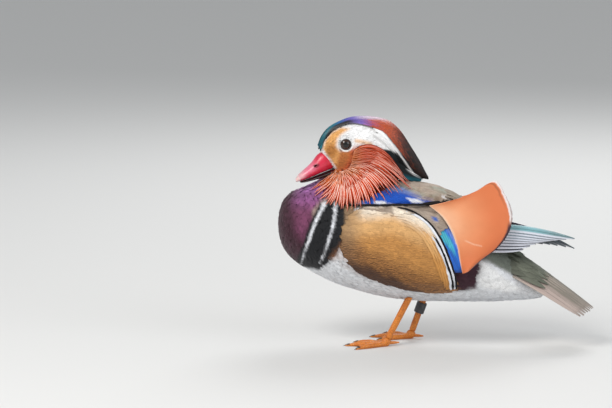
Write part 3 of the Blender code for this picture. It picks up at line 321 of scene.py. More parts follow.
def bodyColours(points):
    places = bodyPlaces(points)
    column, row = places.T
    colour = plain(dyes["belly"], points)
    rump = inside(places, bodyMarks["rump"], 5)
    lay(colour, dyes["rump"], rump)
    lay(colour, dyes["tailGrey"], rump * eased((column - 476) / 14))
    # painted shade: the white belly greyed over its underside
    lay(colour, dyes["bellyShade"], 0.6 * inside(places, bodyMarks["shadedUnderside"], 12))
    lay(colour, dyes["white"], inside(places, bodyMarks["ventPatch"], 5))
    lay(colour, dyes["maroonDark"], inside(places, bodyMarks["darkPatch"], 4))
    lay(colour, dyes["maroonDark"], inside(places, bodyMarks["breast"], 4))
    purple = inside(places, bodyMarks["purple"], 16) * (0.35 + 0.75 * rippled(points, 2.4, 5))
    lay(colour, dyes["purplePink"], 0.85 * purple)
    lay(colour, dyes["purple"], purple * eased((216 - row) / 34))
    # painted sheen: the top of the purple breast paler lilac
    lay(colour, dyes["breastLilac"], 0.5 * purple * eased((196 - row) / 12))
    lay(colour, dyes["taupe"], 0.7 * inside(places, bodyMarks["wedge"], 4))
    lay(colour, dyes["barBlack"], inside(places, bodyMarks["bars"], 2.5))
    width = np.interp(row, (203, 262), bodyMarks["barWidths"])
    broken = 1 - 0.8 * eased((row - 240) / 14) * (rippled(points, 1.3, 8) > 0.55)
    for line in bodyMarks["barLines"]:
        lay(colour, dyes["barWhite"], nearLine(places, line, width, 1.4) * broken)
    lay(colour, dyes["ochreGrey"], inside(places, bodyMarks["flankFront"], 2))
    lay(colour, dyes["flankBrown"],
        0.7 * inside(places, bodyMarks["brownEdge"], 4) * rippled(points, 3.0, 12))
    return colour


def neckColours(points):
    # chestnut under the hackles, running into the breast in front
    column, row = bodyPlaces(points).T
    front = np.maximum(eased((340 - column) / 8) * eased((row - 176) / 6), eased((row - 198) / 6))
    colour = plain(dyes["underHackles"], points)
    lay(colour, bodyColours(points), front)
    return colour


def flankColours(points):
    column, row = bodyPlaces(points).T
    colour = plain(dyes["gold"], points)
    behind = column - flankMarks["slopeFrom"]
    slope = row - flankMarks["slopeBehind"] * np.maximum(0, behind)
    slope = slope - flankMarks["slopeAhead"] * np.maximum(0, -behind)
    # the gold paler towards the top, and cream along its top as a painted highlight
    lay(colour, dyes["goldPale"], eased((240 - slope) / 16))
    lay(colour, dyes["cream"], eased((222 - slope) / 15) * eased((column - 350) / 16))
    lay(colour, dyes["ochreGrey"], 0.75 * eased((368 - column) / 24))
    low = row + flankMarks["lowSlope"] * np.maximum(-60, flankMarks["lowFrom"] - column)
    low = low + 8 * (rippled(points, 6.0, 3) - 0.5)
    lay(colour, dyes["flankBrown"], 0.45 * eased((low - 256) / 18))
    lay(colour, dyes["flankDark"], 0.85 * eased((low - 275) / 11))
    beyond = column - np.interp(row, flankMarks["rearRows"], flankMarks["rearColumns"])
    lay(colour, dyes["maroonDark"], eased((beyond - 1) / 2) * eased((row - 236) / 6))
    return colour


def flankBars(points):
    # how strongly the fine bars show: faint on the gold, strong along the lower edge
    column, row = bodyPlaces(points).T
    low = row + flankMarks["lowSlope"] * (flankMarks["lowFrom"] - column)
    return 0.08 + 0.24 * eased((row - 222) / 24) + 0.5 * eased((low - 252) / 22)


def scapularColours(points):
    places = bodyPlaces(points)
    column, row = places.T
    colour = plain(dyes["taupe"], points)
    green = eased((199 - row) / 6) * eased((rippled(points, 8.0, 4) - 0.3) / 0.3)
    lay(colour, dyes["scapularGreen"], 0.85 * green)
    lay(colour, dyes["scapularBrown"], 0.5 * eased((rippled(points, 5.0, 14) - 0.55) / 0.2))
    lay(colour, dyes["bandPale"], 0.7 * inside(places, wingMarks["paleBand"], 4.0))
    lay(colour, dyes["bandBlue"], inside(places, wingMarks["blueBand"], 2.0))
    for spot in wingMarks["whiteSpots"]:
        lay(colour, dyes["white"], inside(places, spot, 1.2))
    width = np.interp(column, wingMarks["blackColumns"], wingMarks["blackWidths"])
    lay(colour, dyes["crestBlack"], nearLine(places, wingMarks["blackLine"], width, 1.2))
    lay(colour, dyes["underCream"], 0.8 * nearLine(places, wingMarks["underLine"], 1.6, 1.2))
    return colour


def wingColours(points):
    places = bodyPlaces(points)
    column, row = places.T
    colour = plain(dyes["taupe"], points)
    lay(colour, dyes["taupeGrey"], 0.4 * rippled(points, 7.0, 6))
    lay(colour, dyes["spotBlue"], inside(places, wingMarks["blueSpot"], 2.0))
    lay(colour, dyes["covertBrown"], 0.5 * eased((206.5 - row) / 2.0))
    lay(colour, dyes["cream"], inside(places, wingMarks["creamEdge"], 2.0))
    low = np.maximum(eased((row - 264) / 4), eased((row - 256) / 3) * eased((column - 452) / 3))
    lay(colour, bodyColours(points), low)
    return colour


# helpers for meshes

def deselect():
    if bpy.context.mode != "OBJECT":
        bpy.ops.object.mode_set(mode="OBJECT")
    bpy.ops.object.select_all(action="DESELECT")


def choose(piece):
    deselect()
    piece.select_set(True)
    bpy.context.view_layer.objects.active = piece


def applyAll(piece):
    choose(piece)
    for modifier in list(piece.modifiers):
        bpy.ops.object.modifier_apply(modifier=modifier.name)


def mergedCopy(name):
    copy = nodes[name].copy()
    copy.data = copy.data.copy()
    copy.parent = None
    for key in list(copy.keys()):
        del copy[key]
    bpy.context.scene.collection.objects.link(copy)
    made = bmesh.new()
    made.from_mesh(copy.data)
    bmesh.ops.remove_doubles(made, verts=made.verts, dist=1e-6)
    made.to_mesh(copy.data)
    made.free()
    return copy


def vertexValues(piece, key):
    flat = np.zeros(len(piece.data.vertices) * 3, np.float32)
    piece.data.vertices.foreach_get(key, flat)
    return flat.reshape(-1, 3).astype(float)


def pointsOf(piece):
    return vertexValues(piece, "co") / metre


def paint(piece, colours, amount=1.0):
    # the plumage colours of a piece, with a share of fine bars or pale shaft in the alpha
    layer = piece.data.color_attributes.new("plumage", "FLOAT_COLOR", "POINT")
    shares = np.broadcast_to(amount, (len(colours),))
    full = np.column_stack([np.clip(colours, 0, 1), shares]).astype(np.float32)
    layer.data.foreach_set("color", full.ravel())


def toned(colour, tones):
    # each feather its own share lighter or darker
    return colour * np.repeat(tones, len(colour) // len(tones))[:, None]


def chartPiece(piece, name, places, faces):
    layer = piece.data.uv_layers.new(name=name)
    layer.data.foreach_set("uv", places[faces.reshape(-1)].astype(np.float32).ravel())


def finishPiece(piece, material, slot, *replaced):
    piece.data.materials.clear()
    piece.data.materials.append(material)
    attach(piece, "root")
    if replaced:
        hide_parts(*replaced)
    return piece


def meshOf(name, points, faces):
    mesh = bpy.data.meshes.new(name)
    mesh.from_pydata((np.asarray(points) * metre).tolist(), [], np.asarray(faces).tolist())
    piece = bpy.data.objects.new(name, mesh)
    bpy.context.scene.collection.objects.link(piece)
    mesh.shade_smooth()
    return piece


def joined(name, pieces):
    deselect()
    for piece in pieces:
        piece.select_set(True)
    bpy.context.view_layer.objects.active = pieces[0]
    if len(pieces) > 1:
        bpy.ops.object.join()
    pieces[0].name = name
    return pieces[0]


def thicken(piece, depth):
    wall = piece.modifiers.new("wall", "SOLIDIFY")
    wall.thickness = depth * metre
    wall.offset = 0.0
    applyAll(piece)


def melt(form, voxel, factor, smoothing):
    # one even skin over a form's shells, with their creases smoothed
    whole = form.modifiers.new("melt", "REMESH")
    whole.mode = "VOXEL"
    whole.voxel_size = voxel * metre
    even = form.modifiers.new("even", "SMOOTH")
    even.factor = factor
    even.iterations = smoothing
    applyAll(form)


def treeOf(*names):
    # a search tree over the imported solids, in millimetres
    points, faces = [], []
    for name in names:
        mesh = nodes[name].data
        start = len(points)
        points += [vertex.co / metre for vertex in mesh.vertices]
        faces += [[start + k for k in polygon.vertices] for polygon in mesh.polygons]
    return BVHTree.FromPolygons(points, faces)


def treeOfPiece(piece):
    points = [vertex.co / metre for vertex in piece.data.vertices]
    return BVHTree.FromPolygons(points, [list(polygon.vertices) for polygon in piece.data.polygons])


def snapped(tree, points):
    # the nearest places on a surface and its normals there
    places, normals = np.zeros_like(points), np.zeros_like(points)
    for k, point in enumerate(points):
        place, normal = tree.find_nearest(Vector(point))[:2]
        places[k], normals[k] = place, normal
    return places, normals


def fromSide(tree, side, x, z):
    # where a look straight at the bird's side first meets a surface, and how that faces
    return tree.ray_cast(Vector((x, side * bird["farOut"], z)), Vector((0, -side, 0)))[:2]


def seenOn(tree, column, row):
    # where the camera's ray through a pixel first meets a surface, and how that faces
    reach = bird["farOut"]
    across = (column - photo["middleColumn"]) * photo["pixel"]
    upward = (photo["floorRow"] - row) * photo["pixel"]
    slope, rise = math.sin(photo["azimuth"]), math.sin(photo["elevation"])
    ray = Vector((-slope, 1.0, -rise))
    start = Vector((across + reach * slope, -reach, upward + reach * rise))
    place, normal = tree.ray_cast(start, ray.normalized())[:2]
    if place is None:
        place, normal = tree.find_nearest(start + ray * (reach - 15.0))[:2]
    return np.array(place), np.array(normal)


curveSteps = 90  # places that a smooth curve is read at


def smoothRows(rows, count):
    rows = np.array(rows, float)
    slopes = np.gradient(rows, axis=0)
    places = np.linspace(0, len(rows) - 1, count)
    i = np.minimum(places.astype(int), len(rows) - 2)
    t = (places - i)[:, None]
    return (
        (2 * t**3 - 3 * t**2 + 1) * rows[i] + (t**3 - 2 * t**2 + t) * slopes[i]
        + (3 * t**2 - 2 * t**3) * rows[i + 1] + (t**3 - t**2) * slopes[i + 1]
    )


def readAt(stations, x):
    # the other columns of a table where its first has the values x
    rows = smoothRows(stations, curveSteps)
    return [np.interp(x, rows[:, 0], rows[:, k]) for k in range(1, rows.shape[1])]


def readShare(rows, share):
    # places along a curve through some points, by share of its points
    steps = smoothRows(rows, curveSteps)
    at = np.linspace(0, 1, curveSteps)
    return np.stack([np.interp(share, at, steps[:, k]) for k in range(steps.shape[1])], axis=-1)


bakeChart = {
    # level of the axis that the angle is read round, and first x and length of the head and the body
    "headAxis": 190.0, "bodyAxis": 98.0, "head": (-114, 112), "body": (-152, 304),
    # lower edge and height of the head's and the body's strips, and a feather's own patch
    "headStrip": (0.64, 0.34), "bodyStrip": (0.02, 0.58), "patch": 0.003,
}


def unwrapPlace(points, ofHead):
    # a chart of the skin: length along it and angle round it, body below and head above
    straight = np.where(ofHead[:, None], headStraight(points), points)
    axis = np.where(ofHead, bakeChart["headAxis"], bakeChart["bodyAxis"])
    angle = np.arctan2(straight[:, 1], straight[:, 2] - axis) / (2 * math.pi) + 0.5
    alongs, strips = [], []
    for which in ("head", "body"):
        first, length = bakeChart[which]
        foot, height = bakeChart[which + "Strip"]
        alongs.append((straight[:, 0] - first) / length)
        strips.append(foot + height * angle)
    u = 0.02 + 0.96 * np.clip(np.where(ofHead, *alongs), 0, 1)
    return np.column_stack([u, np.where(ofHead, *strips)])


def vaneMesh(name, spines, ups, widths, columns, cup, ofHead=None):
    # many feathers as one mesh: a grid of points each, facing up, with a chart of its own
    spines, ups = np.asarray(spines, float), np.asarray(ups, float)
    count, rows = spines.shape[:2]
    run = np.gradient(spines, axis=1)
    aside = unit(np.cross(run, ups))
    rise = unit(np.cross(aside, run))
    across = np.linspace(-1, 1, columns)
    spread = np.asarray(widths)[:, :, None] * across
    points = spines[:, :, None] + aside[:, :, None] * spread[..., None]
    points = points - rise[:, :, None] * (cup * np.abs(spread) * np.abs(across))[..., None]
    first = np.arange(count)[:, None, None] * rows * columns
    corner = first + np.arange(rows - 1)[:, None] * columns + np.arange(columns - 1)
    faces = np.stack([corner, corner + 1, corner + 1 + columns, corner + columns], -1).reshape(-1, 4)
    piece = meshOf(name, points.reshape(-1, 3), faces)
    shape = (count, rows, columns)
    u = np.broadcast_to((across + 1) / 2, shape).reshape(-1)
    v = np.broadcast_to(np.linspace(0, 1, rows)[:, None], shape).reshape(-1)
    vane = np.column_stack([u, v])
    if ofHead is None:
        ofHead = np.zeros(count, bool)
    roots = np.repeat(unwrapPlace(spines[:, 0], ofHead), rows * columns, axis=0)
    chartPiece(piece, "vane", vane, faces)
    chartPiece(piece, "OFBake", roots + bakeChart["patch"] * (vane - 0.5), faces)
    return piece, points.reshape(-1, 3)


def vaneSteps(count, rows, columns):
    # for each point of some feathers: its feather's rank, its share along it and its place across
    rank = np.repeat(np.arange(count), rows * columns)
    along = np.tile(np.repeat(np.linspace(0, 1, rows), columns), count)
    across = np.tile(np.linspace(-1, 1, columns), count * rows)
    return rank, along, across


def laid(tree, roots, flows, lengths, shares, lifts):
    # spines that follow a surface from their roots, each row lifted off it
    places, normals = snapped(tree, roots)
    spines, ups = [], []
    heading = unit(flows - normals * (flows * normals).sum(1)[:, None])
    last = 0.0
    for share, lift in zip(shares, lifts):
        step = ((share - last) * lengths)[:, None]
        if share > 0:
            places, normals = snapped(tree, places + heading * step)
            heading = unit(heading - normals * (heading * normals).sum(1)[:, None])
        last = share
        spines.append(places + normals * np.asarray(lift).reshape(-1, 1))
        ups.append(normals)
    return np.stack(spines, 1), np.stack(ups, 1)


# materials

featherFinish = {
    "sheen": 0.0, "gloss": 0.3, "barbShade": 0.25, "bump": 0.3, "relief": 0.25, "rootTo": 0.55,
    "fleck": 0.12, "fleckScale": 900.0,
    # wavy bars over the flank's feathers
    "barTurn": math.radians(8), "barStretch": (0.5, 0.5, 1.0), "barDye": shade(58, 34, 26),
    "barWaves": (("Scale", 250.0), ("Distortion", 9.0), ("Detail", 3.0), ("Detail Scale", 1.2)),
}
black = (0.0, 0.0, 0.0)


def newNode(material, kind, **values):
    made = material.node_tree.nodes.new(kind)
    for key, value in values.items():
        setattr(made, key, value)
    return made


def feed(material, socket, value):
    # a socket takes a number, a colour or another node's output
    if isinstance(value, (int, float)):
        socket.default_value = value
    elif isinstance(value, (tuple, list, np.ndarray)):
        socket.default_value = (*[float(part) for part in value], 1.0)
    else:
        material.node_tree.links.new(value, socket)


def mathNode(material, operation, first, second=None):
    made = newNode(material, "ShaderNodeMath", operation=operation)
    feed(material, made.inputs[0], first)
    if second is not None:
        feed(material, made.inputs[1], second)
    return made.outputs[0]


def ramped(material, value, low, high, lowTo=0.0, highTo=1.0):
    made = newNode(material, "ShaderNodeMapRange", interpolation_type="SMOOTHSTEP")
    material.node_tree.links.new(value, made.inputs["Value"])
    for name, number in zip(("From Min", "From Max", "To Min", "To Max"), (low, high, lowTo, highTo)):
        made.inputs[name].default_value = number
    return made.outputs[0]


def mixed(material, factor, first, second):
    made = newNode(material, "ShaderNodeMix", data_type="RGBA")
    for socket, value in zip((0, 6, 7), (factor, first, second)):
        feed(material, made.inputs[socket], value)
    return made.outputs[2]


def objectPlace(material):
    return newNode(material, "ShaderNodeTexCoord").outputs["Object"]


def stretchedPlace(material, scale, rotation=(0.0, 0.0, 0.0)):
    stretch = newNode(material, "ShaderNodeMapping")
    stretch.inputs["Rotation"].default_value = rotation
    stretch.inputs["Scale"].default_value = scale
    material.node_tree.links.new(objectPlace(material), stretch.inputs["Vector"])
    return stretch.outputs[0]


def plumage(material):
    return newNode(material, "ShaderNodeAttribute", attribute_name="plumage").outputs["Color"]


def vaneAxes(material):
    # the two ways of a feather's own chart
    parts = newNode(material, "ShaderNodeSeparateXYZ")
    chart = newNode(material, "ShaderNodeUVMap", uv_map="vane").outputs[0]
    material.node_tree.links.new(chart, parts.inputs[0])
    return parts.outputs[0], parts.outputs[1]


def noise(material, scale, detail=3.0):
    made = newNode(material, "ShaderNodeTexNoise")
    made.inputs["Scale"].default_value = scale
    made.inputs["Detail"].default_value = detail
    material.node_tree.links.new(objectPlace(material), made.inputs["Vector"])
    return made.outputs[0]


def waved(material, lines):
    # a wave between 0 and 1
    wave = mathNode(material, "SINE", lines)
    return mathNode(material, "ADD", mathNode(material, "MULTIPLY", wave, 0.5), 0.5)


def shaderOf(material):
    return material.node_tree.nodes["Principled BSDF"]


def coloured(material, colour):
    material.node_tree.links.new(colour, shaderOf(material).inputs["Base Color"])


def bumped(material, height, strength, distance):
    made = newNode(material, "ShaderNodeBump")
    made.inputs["Strength"].default_value = strength
    made.inputs["Distance"].default_value = distance * metre
    material.node_tree.links.new(height, made.inputs["Height"])
    material.node_tree.links.new(made.outputs[0], shaderOf(material).inputs["Normal"])


def newMaterial(name, roughness, sheen=0.0, coat=0.0, specular=0.5):
    material = bpy.data.materials.new(name)
    material.use_nodes = True
    inputs = shaderOf(material).inputs
    inputs["Roughness"].default_value = roughness
    inputs["Sheen Weight"].default_value = sheen
    inputs["Coat Weight"].default_value = coat
    inputs["Specular IOR Level"].default_value = specular
    return material


def speckled(name, roughness, scale, first, second, bump=None):
    # a finish in two close tones, with a grain of some scale, strength and depth
    material = newMaterial(name, roughness)
    coloured(material, mixed(material, ramped(material, noise(material, scale), 0.3, 0.7), first, second))
    if bump:
        bumped(material, noise(material, bump[0]), *bump[1:])
    return material


def flankBarred(material, colour, amount):
    # fine wavy dark bars, as strong as the amount says
    waves = newNode(material, "ShaderNodeTexWave", bands_direction="Z")
    for socket, number in featherFinish["barWaves"]:
        waves.inputs[socket].default_value = number
    place = stretchedPlace(material, featherFinish["barStretch"], (0.0, featherFinish["barTurn"], 0.0))
    material.node_tree.links.new(place, waves.inputs["Vector"])
    line = ramped(material, waves.outputs["Fac"], 0.35, 0.75, 1.0, 0.0)
    return mixed(material, mathNode(material, "MULTIPLY", line, amount), colour, featherFinish["barDye"])


def featherMaterial(name, own):
    # colour from the plumage attribute, barbs that slant off a shaft, a paler shaft, a darker rim that is
    # partly the feathers' own edge and partly painted shade between neighbours, and a darker root as painted
    # shade
    values = featherFinish | own
    material = newMaterial(name, values["roughness"], values["sheen"], 0.0, values["gloss"])
    colour = plumage(material)
    alpha = colour.node.outputs["Alpha"]
    u, v = vaneAxes(material)
    away = mathNode(material, "ABSOLUTE", mathNode(material, "SUBTRACT", u, 0.5))
    away = mathNode(material, "MULTIPLY", away, 2.0)
    along = mathNode(material, "MULTIPLY", v, values["barbs"])
    slant = mathNode(material, "SUBTRACT", along, mathNode(material, "MULTIPLY", away, values["slant"]))
    barb = waved(material, mathNode(material, "MULTIPLY", slant, 2 * math.pi))
    # a darker rim: partly the feathers' own dark edge, partly painted shade in the gaps between them
    if "edge" in values:
        rim = ramped(material, away, values["edgeFrom"], 1.0, 0.0, values["edgeBy"])
        colour = mixed(material, rim, colour, values["edge"])
    if "shaft" in values:
        half = values["shaftHalf"]
        line = ramped(material, away, half * 0.5, half, values["shaftBy"], 0.0)
        if values.get("shaftByAlpha"):
            line = mathNode(material, "MULTIPLY", line, alpha)
        colour = mixed(material, line, colour, values["shaft"])
    colour = mixed(material, ramped(material, barb, 0.1, 0.6, values["barbShade"], 0.0), colour, black)
    # painted shade: each feather darker towards its root, under the feathers that overlap it
    if "rootShade" in values:
        root = ramped(material, v, 0.0, values["rootTo"], values["rootShade"], 0.0)
        colour = mixed(material, root, colour, black)
    if values.get("bars"):
        colour = flankBarred(material, colour, alpha)
    fleck = ramped(material, noise(material, values["fleckScale"]), 0.35, 0.75, 0.0, values["fleck"])
    coloured(material, mixed(material, fleck, colour, black))
    bumped(material, barb, values["bump"], values["relief"])
    return material


# the skin: one closed form under the whole coat

crown = {
    # x, lowest, highest, half width, level of the widest point, before the head is turned
    "stations": [
        (-111.5, 184.5, 190.5, 3.0, 187.0), (-108.0, 188.0, 198.0, 5.5, 192.0),
        (-101.0, 196.0, 206.5, 8.5, 200.0), (-92.0, 199.0, 212.0, 11.5, 204.0),
        (-80.0, 198.0, 216.3, 15.5, 205.0), (-66.0, 192.0, 217.0, 19.5, 203.0),
        (-53.0, 182.0, 215.5, 20.5, 199.0), (-42.0, 174.0, 211.5, 19.0, 194.0),
        (-32.0, 167.0, 202.0, 15.5, 186.0), (-23.0, 160.5, 188.0, 11.5, 176.0),
        (-15.0, 156.5, 175.5, 7.5, 166.0), (-9.5, 153.5, 165.0, 4.6, 158.5),
        (-5.0, 151.5, 157.0, 2.4, 153.5),
    ],
    "front": -112.6,
    "ramp": 26.0,
    "inset": 2.4,
    "skinFrom": -111.0, "skinTo": -20.0, "rings": 26, "sides": 20,
}


def crownPlace(x, turn, inset):
    low, high, half, level = readAt(crown["stations"], x)
    height = np.where(np.sin(turn) > 0, high - level, level - low)
    across = np.maximum(0.3, half - inset) * np.cos(turn)
    upward = level + np.maximum(0.3, height - inset) * np.sin(turn)
    return np.stack(np.broadcast_arrays(x, across, upward), -1)


def crownUp(turn):
    return np.stack(np.broadcast_arrays(0.0, np.cos(turn), np.sin(turn)), -1)


def turnedUps(ups):
    middle = np.array([bird["neckX"], 0.0, 0.0])
    return headTurned(np.asarray(ups) + middle) - middle


def crownInset(x):
    return crown["inset"] * eased((x - crown["front"]) / crown["ramp"])


def makeCrownForm():
    x = np.linspace(crown["skinFrom"], crown["skinTo"], crown["rings"])[:, None]
    turn = np.linspace(0, 2 * math.pi, crown["sides"], endpoint=False)[None, :]
    rings = headTurned(crownPlace(x, turn, crownInset(x)))
    rows, sides = rings.shape[:2]
    faces = []
    for row in range(rows - 1):
        for side in range(sides):
            a, b = row * sides + side, row * sides + (side + 1) % sides
            faces.append((a, a + sides, b + sides, b))
    form = meshOf("crownForm", rings.reshape(-1, 3), faces)
    choose(form)
    bpy.ops.object.mode_set(mode="EDIT")
    bpy.ops.mesh.select_all(action="SELECT")
    bpy.ops.mesh.fill_holes(sides=0)
    bpy.ops.mesh.normals_make_consistent(inside=False)
    bpy.ops.object.mode_set(mode="OBJECT")
    return form


skinValues = {
    "voxel": 1.7, "grow": 0.5, "soften": 0.6, "smoothing": 12, "shrink": 1.9, "probe": 2.0,
    "under": ("torso", "neck", "head", "flank_left", "flank_right", "scapulars_left", "scapulars_right"),
}


def swell(piece, amount):
    grown = piece.modifiers.new("swell", "DISPLACE")
    grown.mid_level = 0.0
    grown.strength = amount * metre
    applyAll(piece)


def keepLargest(piece):
    # only the largest of a piece's shells stays
    made = bmesh.new()
    made.from_mesh(piece.data)
    unseen, shells = set(made.verts), []
    while unseen:
        stack = [unseen.pop()]
        shell = [stack[0]]
        while stack:
            for edge in stack.pop().link_edges:
                for vertex in edge.verts:
                    if vertex in unseen:
                        unseen.discard(vertex)
                        stack.append(vertex)
                        shell.append(vertex)
        shells.append(shell)
    shells.sort(key=len)
    bmesh.ops.delete(made, geom=[v for shell in shells[:-1] for v in shell], context="VERTS")
    made.to_mesh(piece.data)
    made.free()


def makeSkin():
    parts = [mergedCopy(name) for name in skinValues["under"]] + [makeCrownForm()]
    for part in parts:
        swell(part, skinValues["grow"])
    skin = joined("skin", parts)
    melt(skin, skinValues["voxel"], skinValues["soften"], skinValues["smoothing"])
    keepLargest(skin)
    swell(skin, -skinValues["shrink"])
    skin.data.shade_smooth()
    return skin


skin = makeSkin()
skinTree = treeOfPiece(skin)
print("skin", len(skin.data.polygons), "faces")

# the solids that say which plumage grows at a place, and that plumage's colours
regions = {
    "head": (treeOf("head"), headColours),
    "neck": (treeOf("neck"), neckColours),
    "torso": (treeOf("torso"), bodyColours),
    "flank": (treeOf("flank_left", "flank_right"), flankColours),
    "scapular": (treeOf("scapulars_left", "scapulars_right"), scapularColours),
    "wing": (treeOf("wing_left", "wing_right"), wingColours),
    "crest": (treeOf("crest"), headColours),
}
regionNames = np.array(list(regions))


def regionsOf(points, normals):
    found = []
    for probe in points + normals * skinValues["probe"]:
        away = [tree.find_nearest(Vector(probe))[3] for tree, rule in regions.values()]
        found.append(regionNames[np.argmin(away)])
    return np.array(found)


def coloursOf(points, found):
    colour = np.zeros((len(points), 3))
    for name, (tree, rule) in regions.items():
        chosen = found == name
        if chosen.any():
            colour[chosen] = rule(points[chosen])
    return colour


def makeSkinMaterial():
    material = newMaterial("downUnderCoat", 0.9)
    grain = noise(material, 700.0)
    # painted shade: the skin's colour mixed a fifth towards near black, for the depth in the gaps between the
    # feathers
    deep = mixed(material, 0.2, plumage(material), (0.02, 0.015, 0.012))
    coloured(material, mixed(material, ramped(material, grain, 0.3, 0.7, 0.0, 0.16), deep, black))
    bumped(material, grain, 0.3, 0.4)
    return material


skinPoints, skinNormals = pointsOf(skin), vertexValues(skin, "normal")
skinRegions = regionsOf(skinPoints, skinNormals)
paint(skin, coloursOf(skinPoints, skinRegions))
finishPiece(skin, makeSkinMaterial(), "feather_body", "torso", "neck", "head")
print("skin painted")

# the coat: small body feathers, seeded over the skin

coat = {
    # spacing, length, half width, lift of the middle and tip, looseness
    "face": (1.25, 4.2, 0.9, 0.5, 0.7, 0.10),
    "neck": (2.6, 8.0, 1.6, 0.7, 1.0, 0.15),
    "breast": (2.2, 8.5, 2.2, 0.8, 1.3, 0.12),
    "belly": (2.6, 10.5, 2.7, 0.9, 1.5, 0.14),
    "rump": (3.4, 15.0, 4.0, 1.0, 1.6, 0.06),
    "flank": (2.6, 13.0, 2.8, 0.9, 1.3, 0.06),
    "scapular": (3.0, 17.0, 3.4, 0.9, 1.4, 0.04),
    # tries for each place, and how close two may lie, as a share of the spacing
    "tries": 4, "closest": 0.82,
    # directions that the feathers lie in, and where the breast's turn downwards
    "lie": (1.0, 0.0, -0.38), "neckLie": (0.75, 0.0, -1.0), "scapularLie": (1.0, 0.0, -0.12),
    "breastTurn": (-0.5, 0.0, -0.9), "breastFrom": -80, "breastOver": 30,
    # where the head's feathers fan out from, and how flat the fan is
    "bill": (-118.0, 0.0, 180.0), "headFlat": 0.8,
    # share along a feather: how wide it is there
    "profileSteps": (0.0, 0.38, 0.78, 0.93, 1.0), "profile": (0.55, 1.0, 0.86, 0.6, 0.25),
}


def scattered(places, size):
    # the ranks of the places that keep a distance from all those before them
    kept, cells = [], {}
    around = [(i, j, k) for i in (-1, 0, 1) for j in (-1, 0, 1) for k in (-1, 0, 1)]
    for rank, place in enumerate(places):
        key = (place // size).astype(int)
        others = [cells[cell] for cell in (tuple(key + step) for step in around) if cell in cells]
        if all(((places[other] - place) ** 2).sum() >= size * size for other in others):
            cells[tuple(key)] = rank
            kept.append(rank)
    return kept


def skinSeeds(spacing, draw, mask):
    # places scattered evenly over the chosen faces of the skin
    skin.data.calc_loop_triangles()
    corners = np.zeros(len(skin.data.loop_triangles) * 3, np.int32)
    skin.data.loop_triangles.foreach_get("vertices", corners)
    corners = corners.reshape(-1, 3)
    corners = corners[mask[corners].all(1)]
    a, b, c = (skinPoints[corners[:, k]] for k in range(3))
    areas = np.linalg.norm(np.cross(b - a, c - a), axis=1) / 2
    count = int(areas.sum() / spacing**2 * coat["tries"])
    chosen = draw.choice(len(corners), count, p=areas / areas.sum())
    s, t = draw.uniform(size=(2, count))
    over = s + t > 1
    s[over], t[over] = 1 - s[over], 1 - t[over]
    weights = np.stack([1 - s - t, s, t], 1)
    places = np.einsum("nk,nkd->nd", weights, skinPoints[corners[chosen]])
    kept = scattered(places, spacing * coat["closest"])
    return places[kept], skinRegions[corners[chosen, 0]][kept]


def flowOf(points, found):
    flow = np.tile(coat["lie"], (len(points), 1))
    onHead = (found == "head") | (found == "crest")
    fromBill = headStraight(points) - np.array(coat["bill"])
    fromBill[:, 2] *= coat["headFlat"]
    flow[onHead] = turnedUps(fromBill)[onHead]
    flow[found == "neck"] = coat["neckLie"]
    flow[found == "scapular"] = coat["scapularLie"]
    down = eased((coat["breastFrom"] - points[:, 0]) / coat["breastOver"])
    turned = np.array(coat["lie"]) + np.array(coat["breastTurn"]) * down[:, None]
    flow[found == "torso"] = turned[found == "torso"]
    return unit(flow)


def paleTips(points, colour, shares, columns, count, draw):
    # some of the dark feathers of the breast have a paler tip
    tips = np.repeat(draw.uniform(size=count) < 0.3, len(points) // count)
    last = np.tile(np.repeat(np.array(shares) > 0.75, columns), count)
    dark = eased((0.06 - colour.mean(1)) / 0.04)
    dark *= 1 - inside(bodyPlaces(points), bodyMarks["bars"], 6)
    lay(colour, dyes["breastTip"], 0.13 * tips * last * dark)


def makeTufts(name, kind, mask, draw, columns=3, shares=(0.0, 0.38, 0.78, 1.0)):
    spacing, length, half, middle, tip, loose = coat[kind]
    roots, found = skinSeeds(spacing, draw, mask)
    count = len(roots)
    flows = flowOf(roots, found)
    flows = unit(flows + draw.normal(scale=loose, size=flows.shape))
    lengths = length * draw.uniform(0.82, 1.15, count)
    lift = draw.uniform(0.85, 1.15, count)
    heights = np.interp(shares, (0.0, 0.38, 0.78, 1.0), (-0.5, middle, tip, tip * 0.9))
    lifts = [np.full(count, heights[0])] + [height * lift for height in heights[1:]]
    spines, ups = laid(skinTree, roots, flows, lengths, shares, lifts)
    widths = half * draw.uniform(0.85, 1.15, count)[:, None]
    widths = widths * np.interp(shares, coat["profileSteps"], coat["profile"])
    ofHead = np.isin(found, ("head", "crest", "neck"))
    piece, points = vaneMesh(name, spines, ups, widths, columns, 0.25, ofHead)
    each = len(points) // count
    own = np.repeat(coloursOf(spines[:, 2], found), each, axis=0)
    ownShare = 0.35 if kind in ("flank", "belly", "rump") else 0.2
    colour = coloursOf(points, np.repeat(found, each)) * (1 - ownShare) + own * ownShare
    colour = toned(colour, draw.uniform(0.86, 1.1, count))
    if kind == "breast":
        paleTips(points, colour, shares, columns, count, draw)
    paint(piece, colour, flankBars(points) if kind == "flank" else 1.0)
    print(name, count)
    return piece


draw = np.random.default_rng(bird["seed"])
bodyFeather = featherMaterial("bodyFeather", {
    "roughness": 0.75, "sheen": 0.15, "barbs": 6.0, "slant": 1.6, "barbShade": 0.16, "bump": 0.25,
    "rootShade": 0.35, "fleck": 0.1,
})
faceFeather = featherMaterial("faceFeather", {
    "roughness": 0.8, "sheen": 0.1, "barbs": 3.0, "slant": 0.8, "barbShade": 0.1, "bump": 0.2,
    "rootShade": 0.1, "fleck": 0.05,
})
flankFeather = featherMaterial("flankFeather", {
    "roughness": 0.7, "sheen": 0.1, "barbs": 9.0, "slant": 2.4, "barbShade": 0.08, "bump": 0.25,
    "rootShade": 0.12, "fleck": 0.1, "fleckScale": 520.0, "bars": True,
})

